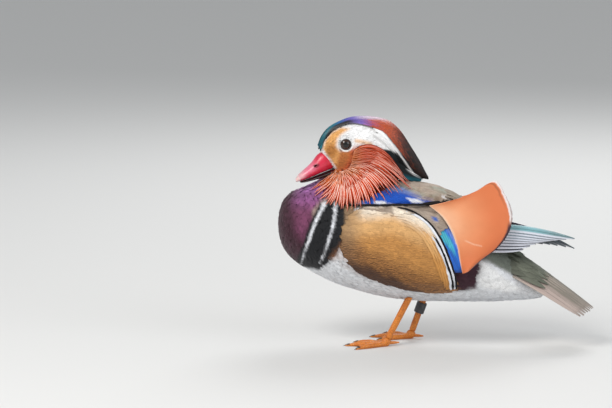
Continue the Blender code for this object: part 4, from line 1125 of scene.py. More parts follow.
# which part of the skin each kind of feather grows on
onHead, onCrest, onNeck = (skinRegions == name for name in ("head", "crest", "neck"))
onTorso, onFlank = skinRegions == "torso", skinRegions == "flank"
hackled = onHead & (inside(headPlaces(skinPoints), headMarks["hackled"], 1.0) > 0.9)
crowned = inside(headPlaces(skinPoints), crownOutline, 1.0) > 0.9
faced = (onHead & ~hackled) | (onCrest & ~crowned)
breastward = onTorso & (skinPoints[:, 0] < -62) & (skinPoints[:, 2] > 62)
onRump = inside(bodyPlaces(skinPoints), bodyMarks["rump"], 1.0) > 0.5
rumpward = onTorso & ~breastward & onRump & (skinPoints[:, 0] > 34)
underWing = (skinRegions == "wing") & (skinPoints[:, 2] < 88)
bellied = (onTorso & ~breastward & ~rumpward) | underWing
overBack = (skinRegions == "scapular") & (skinPoints[:, 0] < 12)

finishPiece(makeTufts("face_feathers", "face", faced, draw), faceFeather, "feather_face")
finishPiece(makeTufts("neck_feathers", "neck", onNeck | hackled, draw), faceFeather, "feather_neck")
finishPiece(makeTufts("breast_feathers", "breast", breastward, draw), bodyFeather, "feather_body")
finishPiece(makeTufts("belly_feathers", "belly", bellied, draw), bodyFeather, "feather_body")
finishPiece(makeTufts("rump_feathers", "rump", rumpward, draw, 5, (0, 0.3, 0.6, 0.85, 1)),
            bodyFeather, "feather_body")
finishPiece(makeTufts("flank_feathers", "flank", onFlank, draw), flankFeather,
            "feather_flank", "flank_left", "flank_right")
finishPiece(makeTufts("scapular_feathers", "scapular", overBack, draw, 5, (0, 0.2, 0.4, 0.6, 0.8, 0.93, 1)),
            bodyFeather, "feather_scapular", "scapulars_left", "scapulars_right")
print("coat laid")

# crest: long fine feathers laid back from the forehead to the nape

crest = {
    "count": 1950, "firstRoot": -111.5, "lastRoot": -40.0, "shortest": 13.0, "longest": 42.0,
    "tip": -5.2, "half": 1.0, "lift": 0.8, "profile": [0.5, 0.85, 1.0, 1.0, 0.95, 0.8, 0.3],
    "steps": 7, "sunk": 0.6, "insetShare": 0.35, "stray": 0.12, "below": math.radians(-88),
}


def lowestTurns():
    # how far down its side the crown reaches at each x before it meets the brow
    x = np.linspace(-112, -5, 60)
    turns = np.radians(np.linspace(-85, 88, 120))
    grid = headTurned(crownPlace(x[:, None], turns[None, :], 0.4)).reshape(-1, 3)
    clear = (overBrow(headPlaces(grid)) > 0.4).reshape(len(x), len(turns))
    lowest = np.array([turns[row.argmax()] if row.any() else turns[-1] for row in clear])
    return x, np.convolve(np.pad(lowest, 2, mode="edge"), np.ones(5) / 5, "valid")


crownX, crownLow = lowestTurns()


def crownLocks(rootX, tipX, sideShare, drift, draw, below=False):
    # spines that run back along the crown, by share of its width from one lower edge to the other
    spines, ups = [], []
    for step in np.linspace(0, 1, crest["steps"]):
        x = rootX + (tipX - rootX) * step
        inset = crownInset(x) * crest["insetShare"] + crest["sunk"] - crest["lift"] * min(1.0, step * 3)
        inset = inset - draw.uniform(0, crest["stray"], len(rootX)) * step
        low = np.interp(x, crownX, crownLow)
        if below:
            angle = crest["below"] + (low - crest["below"]) * sideShare + drift * step
        else:
            angle = low + (math.pi - 2 * low) * np.clip(sideShare + drift * step, 0.0, 1.0)
        spines.append(crownPlace(x, angle, inset))
        ups.append(crownUp(angle))
    return np.stack(spines, 1), np.stack(ups, 1)


def makeCrest(draw):
    count = crest["count"]
    share = draw.uniform(size=count) ** 0.9
    rootX = crest["firstRoot"] + (crest["lastRoot"] - crest["firstRoot"]) * share
    length = crest["shortest"] + (crest["longest"] - crest["shortest"]) * share
    length *= draw.uniform(0.8, 1.15, count)
    tipX = np.minimum(rootX + length, crest["tip"] - draw.uniform(0, 7, count) ** 1.15)
    spines, ups = crownLocks(rootX, tipX, draw.uniform(size=count), draw.normal(scale=0.02, size=count), draw)
    spines, ups = headTurned(spines), turnedUps(ups)
    widths = crest["half"] * draw.uniform(0.75, 1.2, count)[:, None] * np.array(crest["profile"])
    piece, points = vaneMesh("crest_feathers", spines, ups, widths, 3, 0.3, np.ones(count, bool))
    own = np.repeat(crestColours(spines[:, 3]), len(points) // count, axis=0)
    paint(piece, toned(crestColours(points) * 0.5 + own * 0.5, draw.uniform(0.7, 1.25, count)))
    return piece


nape = {
    "count": 420, "firstRoot": -62.0, "lastRoot": -36.0, "tip": -11.0, "half": 1.15,
    # lines of the feathers that hang from the nape onto the back: root, middle, tip as x, y and z
    "upper": ((-50.0, 13.0, 180.0), (-36.0, 9.5, 171.0), (-12.0, 2.5, 156.5)),
    "lower": ((-56.0, 15.0, 172.0), (-44.0, 13.5, 162.0), (-20.0, 6.5, 151.5)),
    "hanging": 170, "stray": (1.2, 0.5, 0.5), "profile": [0.5, 0.85, 1.0, 1.0, 0.85, 0.6, 0.12],
}


def napeColours(points):
    # the white brow line running out over the green-black side of the nape
    places = headPlaces(points)
    colour = plain(dyes["greenBlack"] * 0.55, points)
    lay(colour, dyes["tealEdge"], 0.8 * nearLine(places, headMarks["patchEdge"], 3.0, 3.0))
    line = nearLine(places, headMarks["browLine"], 1.6, 1.2)
    line = np.maximum(line, inside(places, headMarks["browEnd"], 1.6)) * eased((414.5 - places[:, 0]) / 1.5)
    lay(colour, dyes["white"], line)
    return colour


def makeNape(draw):
    count = nape["count"]
    rootX = draw.uniform(nape["firstRoot"], nape["lastRoot"], count)
    tipX = np.minimum(rootX + draw.uniform(20, 34, count), nape["tip"] - draw.uniform(0, 7, count))
    share = draw.uniform(0, 1.0, count)
    spines, ups = crownLocks(rootX, tipX, share, draw.normal(scale=0.05, size=count), draw, below=True)
    flip = draw.uniform(size=count) < 0.5
    spines[flip, :, 1] *= -1
    ups[flip, :, 1] *= -1
    hung, hungUps = [], []
    steps = np.linspace(0, 1, crest["steps"])[:, None]
    for side in (-1, 1):
        for share in draw.uniform(0, 1, nape["hanging"]):
            line = np.array(nape["upper"]) * share + np.array(nape["lower"]) * (1 - share)
            line = line + draw.normal(scale=nape["stray"], size=3)
            hung.append(bowed(*line, steps) * (1, side, 1))
            hungUps.append(np.tile(unit(np.array([0.25, side * 0.8, 0.45])), (len(steps), 1)))
    spines = headTurned(np.concatenate([spines, np.array(hung)]))
    ups = turnedUps(np.concatenate([ups, np.array(hungUps)]))
    count = len(spines)
    widths = nape["half"] * draw.uniform(0.8, 1.2, count)[:, None] * np.array(nape["profile"])
    piece, points = vaneMesh("nape_feathers", spines, ups, widths, 3, 0.3, np.ones(count, bool))
    paint(piece, toned(napeColours(points), draw.uniform(0.85, 1.15, count)))
    return piece


crestFeather = featherMaterial("crestFeather", {
    "roughness": 0.42, "gloss": 0.5, "barbs": 7.0, "slant": 1.2, "barbShade": 0.18, "bump": 0.25,
    "edge": (0.01, 0.006, 0.006), "edgeFrom": 0.55, "edgeBy": 0.45, "rootShade": 0.2, "fleck": 0.1,
})
finishPiece(makeCrest(draw), crestFeather, "feather_crest", "crest")
finishPiece(makeNape(draw), faceFeather, "feather_crest")
print("crest laid")

# ruff: lance-shaped hackles from the cheek and neck out over the breast

ruff = {
    # hackles from the front to the top of the cheek: root, middle and tip where the photo shows them
    "hackles": [
        ((336, 169), (325, 179), (311, 190)), ((338, 170), (332, 186), (320, 200)),
        ((341, 171), (341, 190), (338, 209)), ((344, 170), (352, 188), (355, 209)),
        ((346, 169), (362, 181), (371, 204)), ((349, 167), (369, 174), (387, 198)),
        ((351, 163), (375, 166), (401, 191)), ((352, 157), (378, 157), (411, 187)),
        ((354, 150), (379, 148.5), (405, 178)),
    ],
    "layers": [
        # count, start along the hackle's line, reach, lift, half width
        (42, 0.0, 1.0, 0.9, 2.0), (38, 0.05, 0.88, 1.5, 1.9), (35, 0.08, 0.74, 2.0, 1.7),
        (32, 0.04, 0.58, 2.4, 1.4), (30, 0.0, 0.43, 2.7, 1.1), (28, 0.0, 0.3, 2.9, 0.8),
    ],
    "bulge": 2.4, "steps": 9, "sway": 0.7, "columns": 5, "cup": 0.35,
    "profile": [0.45, 0.75, 0.95, 1.0, 0.95, 0.85, 0.66, 0.4, 0.06],
    "dyes": shades(
        web=(214, 70, 18), high=(196, 70, 32), front=(232, 120, 56), pink=(206, 86, 96), tip=(222, 92, 52),
        cheek=(204, 116, 54), shaft=(255, 230, 216), edge=(84, 16, 10)),
    "over": (
        "torso", "neck", "head", "scapulars_left", "scapulars_right", "flank_left", "flank_right"),
}
ruffTree = treeOf(*ruff["over"])


def sideSwapped(point, ofHead):
    # the same place on the right side: the head's is mirrored in the turned head, the body's in the body
    ofBody = point * (1, -1, 1)
    return ofBody + (headTurned(headStraight(point) * (1, -1, 1)) - ofBody) * ofHead


def hackleKnots():
    # root, middle and tip of each hackle of the table, on the surfaces the photo shows them over
    knots = []
    for places in ruff["hackles"]:
        knots.append(np.concatenate([seenOn(ruffTree, *place)[0] for place in places]))
    return smoothRows(knots, curveSteps)


def hackle(line, start, reach, lift, side, sway):
    # one spine along its line, kept clear of what it lies over
    spine, up = [], []
    for step in np.linspace(0, 1, ruff["steps"]):
        along = start + (reach - start) * step
        point = bowed(*line, along) + sway * step
        if side > 0:
            point = sideSwapped(point, float(1 - eased(along)))
        place, normal = (np.array(found) for found in ruffTree.find_nearest(Vector(point))[:2])
        clear = lift * float(eased(step * 2.5)) - 0.3
        spine.append(point + normal * max(0.0, clear - (point - place) @ normal))
        up.append(normal)
    return spine, up


def ruffColours(points):
    # the webs' colour, and how strongly the pale shafts show
    column, row = bodyPlaces(points).T
    dye = ruff["dyes"]
    colour = plain(dye["web"], points)
    high = eased((172 - row + 0.45 * (column - 360)) / 12)
    lay(colour, dye["high"], 0.85 * high)
    lay(colour, dye["front"], 0.7 * eased((346 - column) / 8) * eased((190 - row) / 8))
    lay(colour, dye["pink"], 0.5 * eased((334 - column) / 16) * eased((row - 182) / 10))
    lay(colour, dye["tip"], 0.6 * eased((row - 190) / 14))
    lay(colour, dye["cheek"], 0.75 * eased((366 - column) / 14) * eased((180 - row) / 10))
    return colour, 0.45 + 0.55 * eased((row - 156) / 12) - 0.15 * high


def makeRuff(side, word, draw):
    knots = hackleKnots()
    ranks = np.arange(curveSteps)
    spines, ups, widths = [], [], []
    for count, start, reach, lift, half in ruff["layers"]:
        shares = (np.arange(count) + draw.uniform(-0.22, 0.22, count)) / (count - 1)
        for share in np.clip(shares, 0, 1):
            at = share * (curveSteps - 1)
            line = np.array([np.interp(at, ranks, part) for part in knots.T]).reshape(3, 3)
            line[1, 1] -= ruff["bulge"]
            own = reach * draw.uniform(0.9, 1.04)
            sway = draw.normal(scale=ruff["sway"], size=3) * (1, 0.2, 0.6)
            spine, up = hackle(line, start, own, lift, side, sway)
            spines.append(spine)
            ups.append(up)
            widths.append(half * draw.uniform(0.85, 1.12) * np.array(ruff["profile"]))
    ups = np.array(ups)
    ups = unit(ups + np.roll(ups, 1, axis=1) * 0.5 + np.roll(ups, -1, axis=1) * 0.5)
    count = len(spines)
    piece, points = vaneMesh(
        "ruff_feathers_" + word, spines, ups, widths, ruff["columns"], ruff["cup"], np.ones(count, bool))
    tones = draw.uniform(0.85, 1.12, count)
    colour, pale = ruffColours(points)
    paint(piece, toned(colour, tones), pale)
    return piece


# the hackles' dark rims: partly their own maroon edges, partly painted shade in the gaps between them
hackleFeather = featherMaterial("hackleFeather", {
    "roughness": 0.55, "gloss": 0.2, "barbs": 16.0, "slant": 2.0, "barbShade": 0.12, "bump": 0.3,
    "shaft": ruff["dyes"]["shaft"], "shaftHalf": 0.22, "shaftBy": 0.95, "shaftByAlpha": True,
    "edge": ruff["dyes"]["edge"], "edgeFrom": 0.5, "edgeBy": 0.95, "fleck": 0.06,
})
sides = ((-1, "left"), (1, "right"))
for side, word in sides:
    finishPiece(makeRuff(side, word, draw), hackleFeather, "feather_ruff", "ruff_" + word)
print("ruff laid")

# wing: coverts in tiers, the blue flight feathers under them, and the stack of tips over the rump

wing = {
    # first and last root, first and last tip in the side view; rows, feathers a row, half width
    "coverts": ((-50.0, 124.0), (-44.0, 137.0), (0.0, 120.0), (14.0, 124.0), 9, 8, 3.6),
    "covertLength": 15.0, "covertReach": 0.84, "covertProfile": [0.6, 0.9, 1.0, 0.98, 0.75, 0.2],
    # first and last root, first and last tip in the side view; feathers, half width
    "specula": ((-3.0, 116.0), (17.0, 122.0), (20.5, 75.0), (31.5, 74.5), 11, 2.7),
    "turquoise": [(434, 229), (441, 228), (450, 240), (454, 254), (448, 247), (440, 239)],
    "lavender": [(441, 222), (448, 226), (456, 236), (461, 250), (463, 262), (457, 250), (450, 236)],
    "speculumProfile": [0.6, 0.8, 0.95, 1.0, 1.0, 1.0, 0.98, 0.9, 0.7, 0.2],
    "primaryRoot": (30.0, 30.0, 113.0),
    "primaryStep": (-1.0, 1.0, -2.2),
    "primaryTips": [
        (132.0, 6.0, 102.4), (124.0, 8.0, 102.2), (116.0, 10.0, 101.9), (109.0, 12.0, 101.6),
        (102.0, 14.0, 101.0), (95.5, 16.5, 99.6), (90.0, 19.0, 97.6), (84.0, 21.5, 95.0),
    ],
    "primaryHalf": 4.9, "primaryRise": 5.4, "primaryLength": 102, "primaryWall": 0.35,
    "primaryProfile": [0.5, 0.75, 0.9, 1.0, 1.0, 1.0, 1.0, 0.97, 0.9, 0.78, 0.55, 0.12],
    "tipDrops": {-1: 0.0, 1: 11.0},  # the right wing's tips hang lower
    "sunk": -1.0, "columns": 7, "cup": 0.12,
    "dyes": shades(
        speculum=(18, 104, 212), speculumEnd=(8, 30, 90), turquoise=(70, 196, 206), lavender=(140, 160, 232),
        primary=(58, 62, 78), leftWeb=(122, 176, 184), rightWeb=(86, 80, 104), webEnd=(108, 124, 126),
        paleEdge=(226, 228, 238)),
}
wingTree = treeOf("torso", "wing_left", "wing_right")


def sideLaid(root, tip, side, steps, lift):
    # a spine between places of the side view, on the outer face of what lies there
    spine, ups = [], []
    for step in steps:
        x, z = root + (tip - root) * step
        place, normal = fromSide(wingTree, side, x, z)
        if place is None:
            place, normal = wingTree.find_nearest(Vector((x, side * 30.0, z)))[:2]
        rise = wing["sunk"] + (lift - wing["sunk"]) * min(1.0, step * 3.0)
        spine.append(np.array(place) + np.array(normal) * rise)
        ups.append(np.array(normal))
    return spine, ups


def makeCoverts(side, word, draw):
    firstRoot, lastRoot, firstTip, lastTip, tiers, each, half = wing["coverts"]
    spines, ups, widths = [], [], []
    steps = np.linspace(0, 1, len(wing["covertProfile"]))
    for tier in range(tiers):
        along = tier / (tiers - 1) * wing["covertReach"]
        low = np.array(firstRoot) + (np.array(firstTip) - firstRoot) * along
        high = np.array(lastRoot) + (np.array(lastTip) - lastRoot) * along
        for k in range(each):
            share = (k + 0.5 * (tier % 2)) / (each - 0.5) + draw.uniform(-0.03, 0.03)
            root = low + (high - low) * share
            length = wing["covertLength"] * draw.uniform(0.9, 1.1)
            heading = np.array([0.92, -0.38 + 0.2 * share - 0.5 * along * (1 - share)])
            lift = 0.5 + 0.12 * (tiers - tier) / tiers
            spine, up = sideLaid(root, root + heading * length, side, steps, lift)
            spines.append(spine)
            ups.append(up)
            widths.append(half * draw.uniform(0.9, 1.1) * np.array(wing["covertProfile"]))
    piece, points = vaneMesh("wing_coverts_" + word, spines, ups, widths, 5, 0.15)
    paint(piece, toned(wingColours(points), draw.uniform(0.86, 1.1, len(spines))))
    return piece


def makeSpecula(side, word, draw):
    firstRoot, lastRoot, firstTip, lastTip, count, half = wing["specula"]
    profile, columns, dye = np.array(wing["speculumProfile"]), wing["columns"], wing["dyes"]
    spines, ups = [], []
    for share in np.linspace(0, 1, count):
        root = np.array(firstRoot) + (np.array(lastRoot) - firstRoot) * share
        tip = np.array(firstTip) + (np.array(lastTip) - firstTip) * share
        spine, up = sideLaid(root, tip, side, np.linspace(0, 1, len(profile)), 0.5)
        spines.append(spine)
        ups.append(up)
    widths = half * np.ones(count)[:, None] * profile
    piece, points = vaneMesh("speculum_" + word, spines, ups, widths, columns, wing["cup"])
    along = vaneSteps(count, len(profile), columns)[1]
    colour = plain(dye["speculum"], points)
    lay(colour, dye["speculumEnd"], 0.7 * eased((along - 0.9) / 0.08))
    # a turquoise patch, and a lavender patch near the sail as painted sheen
    for mark in ("turquoise", "lavender"):
        lay(colour, dye[mark], 0.85 * inside(bodyPlaces(points), wing[mark], 3))
    paint(piece, toned(colour, draw.uniform(0.8, 1.15, count)))
    return piece


def makePrimaries(side, word):
    profile, dye = np.array(wing["primaryProfile"]), wing["dyes"]
    spines = []
    for k, tip in enumerate(wing["primaryTips"]):
        root = np.array(wing["primaryRoot"]) + np.array(wing["primaryStep"]) * k
        spine = []
        for step in np.linspace(0, 1, len(profile)):
            x, y, z = root + (np.array(tip) - root) * step
            z += wing["primaryRise"] * (1 - 0.13 * k) * math.sin(math.pi * step**0.8) - 0.15 * k
            z -= wing["tipDrops"][side] * (step * (tip[0] - root[0]) / wing["primaryLength"]) ** 2
            spine.append((x, side * y, z))
        spines.append(spine)
    count, columns = len(spines), wing["columns"]
    ups = np.tile(unit(np.array([0.0, side * 0.8, 1.0])), (count, len(profile), 1))
    widths = wing["primaryHalf"] * np.tile(profile, (count, 1))
    piece, points = vaneMesh("primaries_" + word, spines, ups, widths, columns, wing["cup"])
    rank, along, across = vaneSteps(count, len(profile), columns)
    # the top few feathers' webs: pale teal on the left wing, and on the far right wing a darker,
    # lavender-tinged tone that is painted shade and sheen
    upper = eased((4.2 - rank) / 1.5)
    colour = plain(dye["primary"], points)
    lay(colour, dye[word + "Web"], upper)
    lay(colour, dye["webEnd"], 0.7 * upper * eased((along - 0.62) / 0.25))
    lay(colour, dye["paleEdge"], 0.92 * eased((across * -side - 0.42) / 0.2))
    paint(piece, colour)
    thicken(piece, wing["primaryWall"])
    return piece


flightFeather = featherMaterial("flightFeather", {
    "roughness": 0.42, "gloss": 0.45, "barbs": 26.0, "slant": 4.0, "barbShade": 0.14, "bump": 0.25,
    "shaft": (0.02, 0.02, 0.02), "shaftHalf": 0.07, "shaftBy": 0.7, "fleck": 0.06,
})
covertFeather = featherMaterial("covertFeather", {
    "roughness": 0.6, "gloss": 0.35, "barbs": 14.0, "slant": 3.0, "barbShade": 0.14, "bump": 0.25,
    "shaft": (0.05, 0.04, 0.035), "shaftHalf": 0.06, "shaftBy": 0.4, "rootShade": 0.2,
    "edge": (0.05, 0.04, 0.035), "edgeFrom": 0.8, "edgeBy": 0.3,
})

plumes = {
    # a line of the photo, its plumes' half width, and the chains beside it: offset, first and last share, dye
    "flank": ([
        (394, 206.5), (408, 210), (420, 216.5), (430, 225.5), (438, 237.5), (444, 250), (449, 263),
        (453, 276), (454.5, 286),
    ], 1.0, [
        (13.0, 0.14, 0.8, "flank"), (10.8, 0.1, 0.9, "flank"), (8.6, 0.05, 1.0, "flank"),
        (6.6, 0.0, 1.0, "flank"), (4.8, 0.0, 0.5, "flank"), (5.0, 0.46, 1.0, "barWhite"),
        (3.2, 0.0, 0.4, "flank"),
        (3.0, 0.47, 1.0, "crestBlack"), (-0.6, 0.04, 1.0, "crestBlack"), (1.0, 0.12, 1.0, "barWhite"),
    ]),
    "scapular": ([
        (348, 204.8), (380, 204.6), (412, 203.9), (434, 202.6), (448, 199.2), (464, 195.0),
    ], 1.05, [
        (0.0, 0.0, 0.72, "crestBlack"), (-1.4, 0.5, 0.66, "crestBlack"),
    ]),
    "each": 16, "reach": 0.2, "lift": 1.5,
    "profile": [0.5, 0.9, 1.0, 1.0, 0.9, 0.65, 0.15],
    "over": ("torso", "flank_left", "wing_left", "scapulars_left"),
}


def plume(tree, edge, share, offset, rise, side, draw):
    # one spine beside a line of the photo, drifting in to it
    spine, ups = [], []
    for step in np.linspace(0, 1, len(plumes["profile"])):
        at = np.clip(share + plumes["reach"] * step, 0.002, 0.998)
        column, row = readShare(edge, at)
        ahead = readShare(edge, min(1.0, at + 0.01)) - readShare(edge, max(0.0, at - 0.01))
        ahead = ahead / np.linalg.norm(ahead)
        drift = offset + (1 - step) * (0.8 if offset > 0 else 0.3) + draw.normal(scale=0.08)
        place, normal = seenOn(tree, column - ahead[1] * drift, row + ahead[0] * drift)
        spine.append((place + normal * (rise - 1.0 * (1 - step) ** 2)) * (1, -side, 1))
        ups.append(normal * (1, -side, 1))
    return spine, ups


def makePlumes(name, kind, side, draw):
    tree = treeOf(*plumes["over"])
    edge, half, chains = plumes[kind]
    edge = np.array(edge, float)
    spines, ups, dyed = [], [], []
    for rank, (offset, first, last, dye) in enumerate(chains):
        rise = (0.85 if dye == "flank" else plumes["lift"]) + 0.06 * rank
        for share in np.linspace(first - 0.02, last - plumes["reach"] * 0.6, plumes["each"]):
            spine, up = plume(tree, edge, share, offset, rise, side, draw)
            spines.append(spine)
            ups.append(up)
            dyed.append(flankColours(np.array(spine[3:4]))[0] if dye == "flank" else dyes[dye])
    count = len(spines)
    widths = half * draw.uniform(0.85, 1.1, count)[:, None] * np.array(plumes["profile"])
    piece, points = vaneMesh(name, spines, ups, widths, 3, 0.3)
    dyed = np.array(dyed) * draw.uniform(0.88, 1.08, count)[:, None]
    paint(piece, np.repeat(dyed, len(points) // count, axis=0))
    return piece


for side, word in sides:
    finishPiece(makePlumes("flank_plumes_" + word, "flank", side, draw), faceFeather, "feather_flank")
    finishPiece(makePlumes("scapular_plumes_" + word, "scapular", side, draw),
                faceFeather, "feather_scapular")
    finishPiece(makeCoverts(side, word, draw), covertFeather, "feather_wing", "wing_" + word)
    finishPiece(makeSpecula(side, word, draw), flightFeather, "feather_wing", "wing_" + word)
    finishPiece(makePrimaries(side, word), flightFeather, "feather_wing", "wing_" + word)
print("wings laid")

# back: broad feathers in tiers between the folded wings

back = {
    "first": 3.0, "tierStep": 10.5, "tiers": 7, "across": 9, "reach": 22.0, "length": 27.0, "half": 4.8,
    "narrows": 0.08, "lift": 3.1, "sunk": 0.9, "tierSunk": 0.08, "fall": 2.4, "drawnIn": 0.25,
    "profile": [0.5, 0.8, 0.95, 1, 1, 0.92, 0.68, 0.15],
    "dyes": shades(front=(150, 134, 114), rear=(100, 106, 90)),
}


def backFeather(x, y, length, tier):
    # one spine over the back, falling no faster than the plumage bridges
    spine, ups, level = [], [], 0.0
    for step in np.linspace(0, 1, len(back["profile"])):
        over = Vector((x + length * step, y * (1 - back["drawnIn"] * step), bird["farOut"]))
        place, normal = (np.array(found) for found in skinTree.ray_cast(over, Vector((0, 0, -1)))[:2])
        level = place[2] = max(place[2], level - back["fall"])
        normal = unit(normal + (0, 0, 1))
        rise = back["lift"] * min(1.0, step * 3.0) - back["sunk"] - back["tierSunk"] * tier
        spine.append(place + normal * rise)
        ups.append(normal)
    return spine, ups


def makeBack(draw):
    spines, ups, widths = [], [], []
    for tier in range(back["tiers"]):
        spread = back["reach"] * (1 - back["narrows"] * tier)
        for k in range(back["across"]):
            share = (k + 0.5 * (tier % 2)) / (back["across"] - 0.5) * 2 - 1
            x = back["first"] + back["tierStep"] * tier + draw.normal(scale=0.8)
            spine, up = backFeather(x, spread * share, back["length"] * draw.uniform(0.9, 1.1), tier)
            spines.append(spine)
            ups.append(up)
            widths.append(back["half"] * draw.uniform(0.9, 1.1) * np.array(back["profile"]))
    piece, points = vaneMesh("back_feathers", spines, ups, widths, 5, 0.15)
    colour = plain(back["dyes"]["front"], points)
    lay(colour, back["dyes"]["rear"], eased((points[:, 0] - 14) / 44))
    paint(piece, toned(colour, draw.uniform(0.84, 1.12, len(spines))))
    return piece


finishPiece(makeBack(draw), covertFeather, "feather_body")
print("back laid")

# sail: the tall inner wing feather, one broad vane from its shaft on the wing to its free margin

sail = {
    "shaft": [(-4.0, 136.5), (8.5, 126.0), (17.5, 112.0), (22.5, 97.5), (25.5, 84.0), (28.0, 74.0)],
    "margin": [
        (26.0, -37.0, 144.0), (42.0, -30.0, 151.0), (57.5, -23.0, 159.0), (67.0, -25.0, 145.5),
        (72.5, -29.0, 129.5), (71.5, -33.5, 113.5), (61.0, -38.5, 98.5), (47.0, -43.0, 88.0),
        (34.5, -46.5, 77.5),
    ],
    "rows": 90, "columns": 44, "bulge": 4.0, "thickness": 0.7, "fringe": 0.012,
    "drops": {-1: 0.0, 1: 12.0},  # the right one's top is folded lower
    "rootLift": 1.5, "evened": 27, "scar": [(463, 238.5), (470, 242), (479, 244)],
    "dyes": shades(
        web=(224, 122, 72), light=(240, 160, 112), pale=(250, 196, 156), deep=(204, 96, 50),
        shaft=(253, 230, 206), line=(120, 66, 40), fringe=(244, 238, 236),
        navy=(12, 18, 44), scar=(252, 218, 190)),
}


def sailShaft(shaft, side):
    # how far out the shaft lies, evened over what is under it
    reaches = []
    for x, z in shaft:
        place = fromSide(wingTree, side, x, z)[0]
        reaches.append(0.0 if place is None else abs(place[1]))
    window, pad = sail["evened"], sail["evened"] // 2
    wide = np.pad(reaches, pad, mode="edge")
    widest = np.array([wide[k:k + window].max() for k in range(len(shaft))])
    evened = np.convolve(np.pad(widest, pad, mode="edge"), np.ones(window) / window, "valid")
    return side * (evened + sail["rootLift"])


def sailColours(points, down, across):
    dye = sail["dyes"]
    colour = plain(dye["web"], points)
    lay(colour, dye["light"], eased((0.8 - across) / 0.6) * eased((0.85 - down) / 0.5))
    lay(colour, dye["pale"], 0.7 * eased((0.34 - across) / 0.3) * eased((0.62 - down) / 0.4))
    lay(colour, dye["deep"], 0.6 * eased((across - 0.5) / 0.4) * eased((down - 0.55) / 0.3))
    lay(colour, dye["shaft"], eased((0.028 - across) / 0.014))
    line = eased((across - 0.915) / 0.02) * eased((0.955 - across) / 0.02) * eased((0.5 - down) / 0.2)
    lay(colour, dye["line"], 0.7 * line)
    lay(colour, dye["fringe"], eased((across - 0.955) / 0.02) * eased((0.6 - down) / 0.06))
    low = 0.92 - 0.08 * eased((down - 0.75) / 0.2)
    lay(colour, dye["navy"], eased((across - low) / 0.025) * eased((down - 0.54) / 0.06))
    # a pale curved line over the sail's lower part
    lay(colour, dye["scar"], 0.8 * nearLine(bodyPlaces(points), sail["scar"], 0.6, 1.4))
    return colour


def makeSail(side, word, draw):
    rows, columns = sail["rows"], sail["columns"]
    shaft, margin = smoothRows(sail["shaft"], rows), smoothRows(sail["margin"], rows)
    shares = np.linspace(0, 1, columns)
    fray = 1 - sail["fringe"] * draw.uniform(0, 1, rows)
    roots = np.stack([shaft[:, 0], sailShaft(shaft, side), shaft[:, 1]], -1)
    ends = margin * (1, -side, 1)
    ends[:, 2] -= sail["drops"][side] * (1 - np.linspace(0, 1, rows))
    reach = (shares * fray[:, None])[..., None]
    grid = roots[:, None] + (ends - roots)[:, None] * reach
    grid[..., 1] += side * sail["bulge"] * np.sin(math.pi * reach[..., 0])
    corner = np.arange(rows - 1)[:, None] * columns + np.arange(columns - 1)
    quads = np.stack([corner, corner + columns, corner + 1 + columns, corner + 1], -1).reshape(-1, 4)
    if side > 0:
        quads = quads[:, ::-1]
    points = grid.reshape(-1, 3)
    piece = meshOf("sail_feather_" + word, points, quads)
    down, across = np.repeat(np.linspace(0, 1, rows), columns), np.tile(shares, rows)
    chartPiece(piece, "vane", np.column_stack([down, across]), quads)
    paint(piece, sailColours(points, down, across))
    thicken(piece, sail["thickness"])
    return piece


def makeSailMaterial():
    # fine barbs that run across the vane, over broad soft stains
    material = newMaterial("sailFeather", 0.5, 0.15, 0.0, 0.35)
    down, across = vaneAxes(material)
    bend = mathNode(material, "MULTIPLY", mathNode(material, "MULTIPLY", across, across), 3.0)
    uneven = mathNode(material, "MULTIPLY", noise(material, 60.0), 2.5)
    stray = mathNode(material, "ADD", bend, uneven)
    lines = mathNode(material, "ADD", mathNode(material, "MULTIPLY", down, 130.0), stray)
    wave = waved(material, mathNode(material, "MULTIPLY", lines, 6.283))
    colour = mixed(material, ramped(material, wave, 0.0, 0.6, 0.2, 0.0), plumage(material), (0.3, 0.06, 0.01))
    broad = ramped(material, noise(material, 45.0), 0.35, 0.7, 0.0, 0.18)
    coloured(material, mixed(material, broad, colour, (0.5, 0.14, 0.04)))
    bumped(material, wave, 0.3, 0.3)
    return material


sailFeather = makeSailMaterial()
for side, word in sides:
    finishPiece(makeSail(side, word, draw), sailFeather, "feather_sail", "sail_" + word)
print("sails set")

# tail: a fan arched like a roof, with coverts over its root

tail = {
    "count": 16, "root": (56.0, 95.0), "middle": (92.0, 76.0), "tip": (149.0, 34.0),
    "rootSpread": 13.0, "tipSpread": 34.0, "rootDrop": 22.0, "tipDrop": 3.0, "shorter": 11.0, "half": 5.0,
    "columns": 7, "wall": 0.35, "profile": [0.4, 0.5, 0.6, 0.72, 0.84, 0.93, 1.0, 1.02, 1.0, 0.92, 0.72, 0.2],
    "tiers": 6, "firstTier": -0.12, "tierStep": 0.095, "covertsAcross": 10.5, "covertHalf": 3.9,
    "covertProfile": [0.6, 0.85, 1.0, 1.0, 0.92, 0.66, 0.15],
    "dyes": shades(
        web=(132, 124, 112), root=(96, 106, 96), outer=(206, 184, 176), rim=(196, 180, 170),
        covert=(108, 112, 98)),
}


def tailPlace(along, across):
    x, z = bowed(*(np.array(tail[key]) for key in ("root", "middle", "tip")), along)
    spread = tail["rootSpread"] + (tail["tipSpread"] - tail["rootSpread"]) * along
    drop = tail["rootDrop"] + (tail["tipDrop"] - tail["rootDrop"]) * along
    return np.array([x - tail["shorter"] * across**2 * along, across * spread, z - drop * across**2])


def tailFeather(across, start, end, steps, lift):
    spine, ups = [], []
    for step in steps:
        along = start + (end - start) * step
        place = tailPlace(along, across)
        ahead = tailPlace(along + 0.01, across) - place
        aside = tailPlace(along, across + 0.01) - place
        up = unit(np.cross(ahead, aside))
        spine.append(place + up * lift)
        ups.append(up)
    return spine, ups


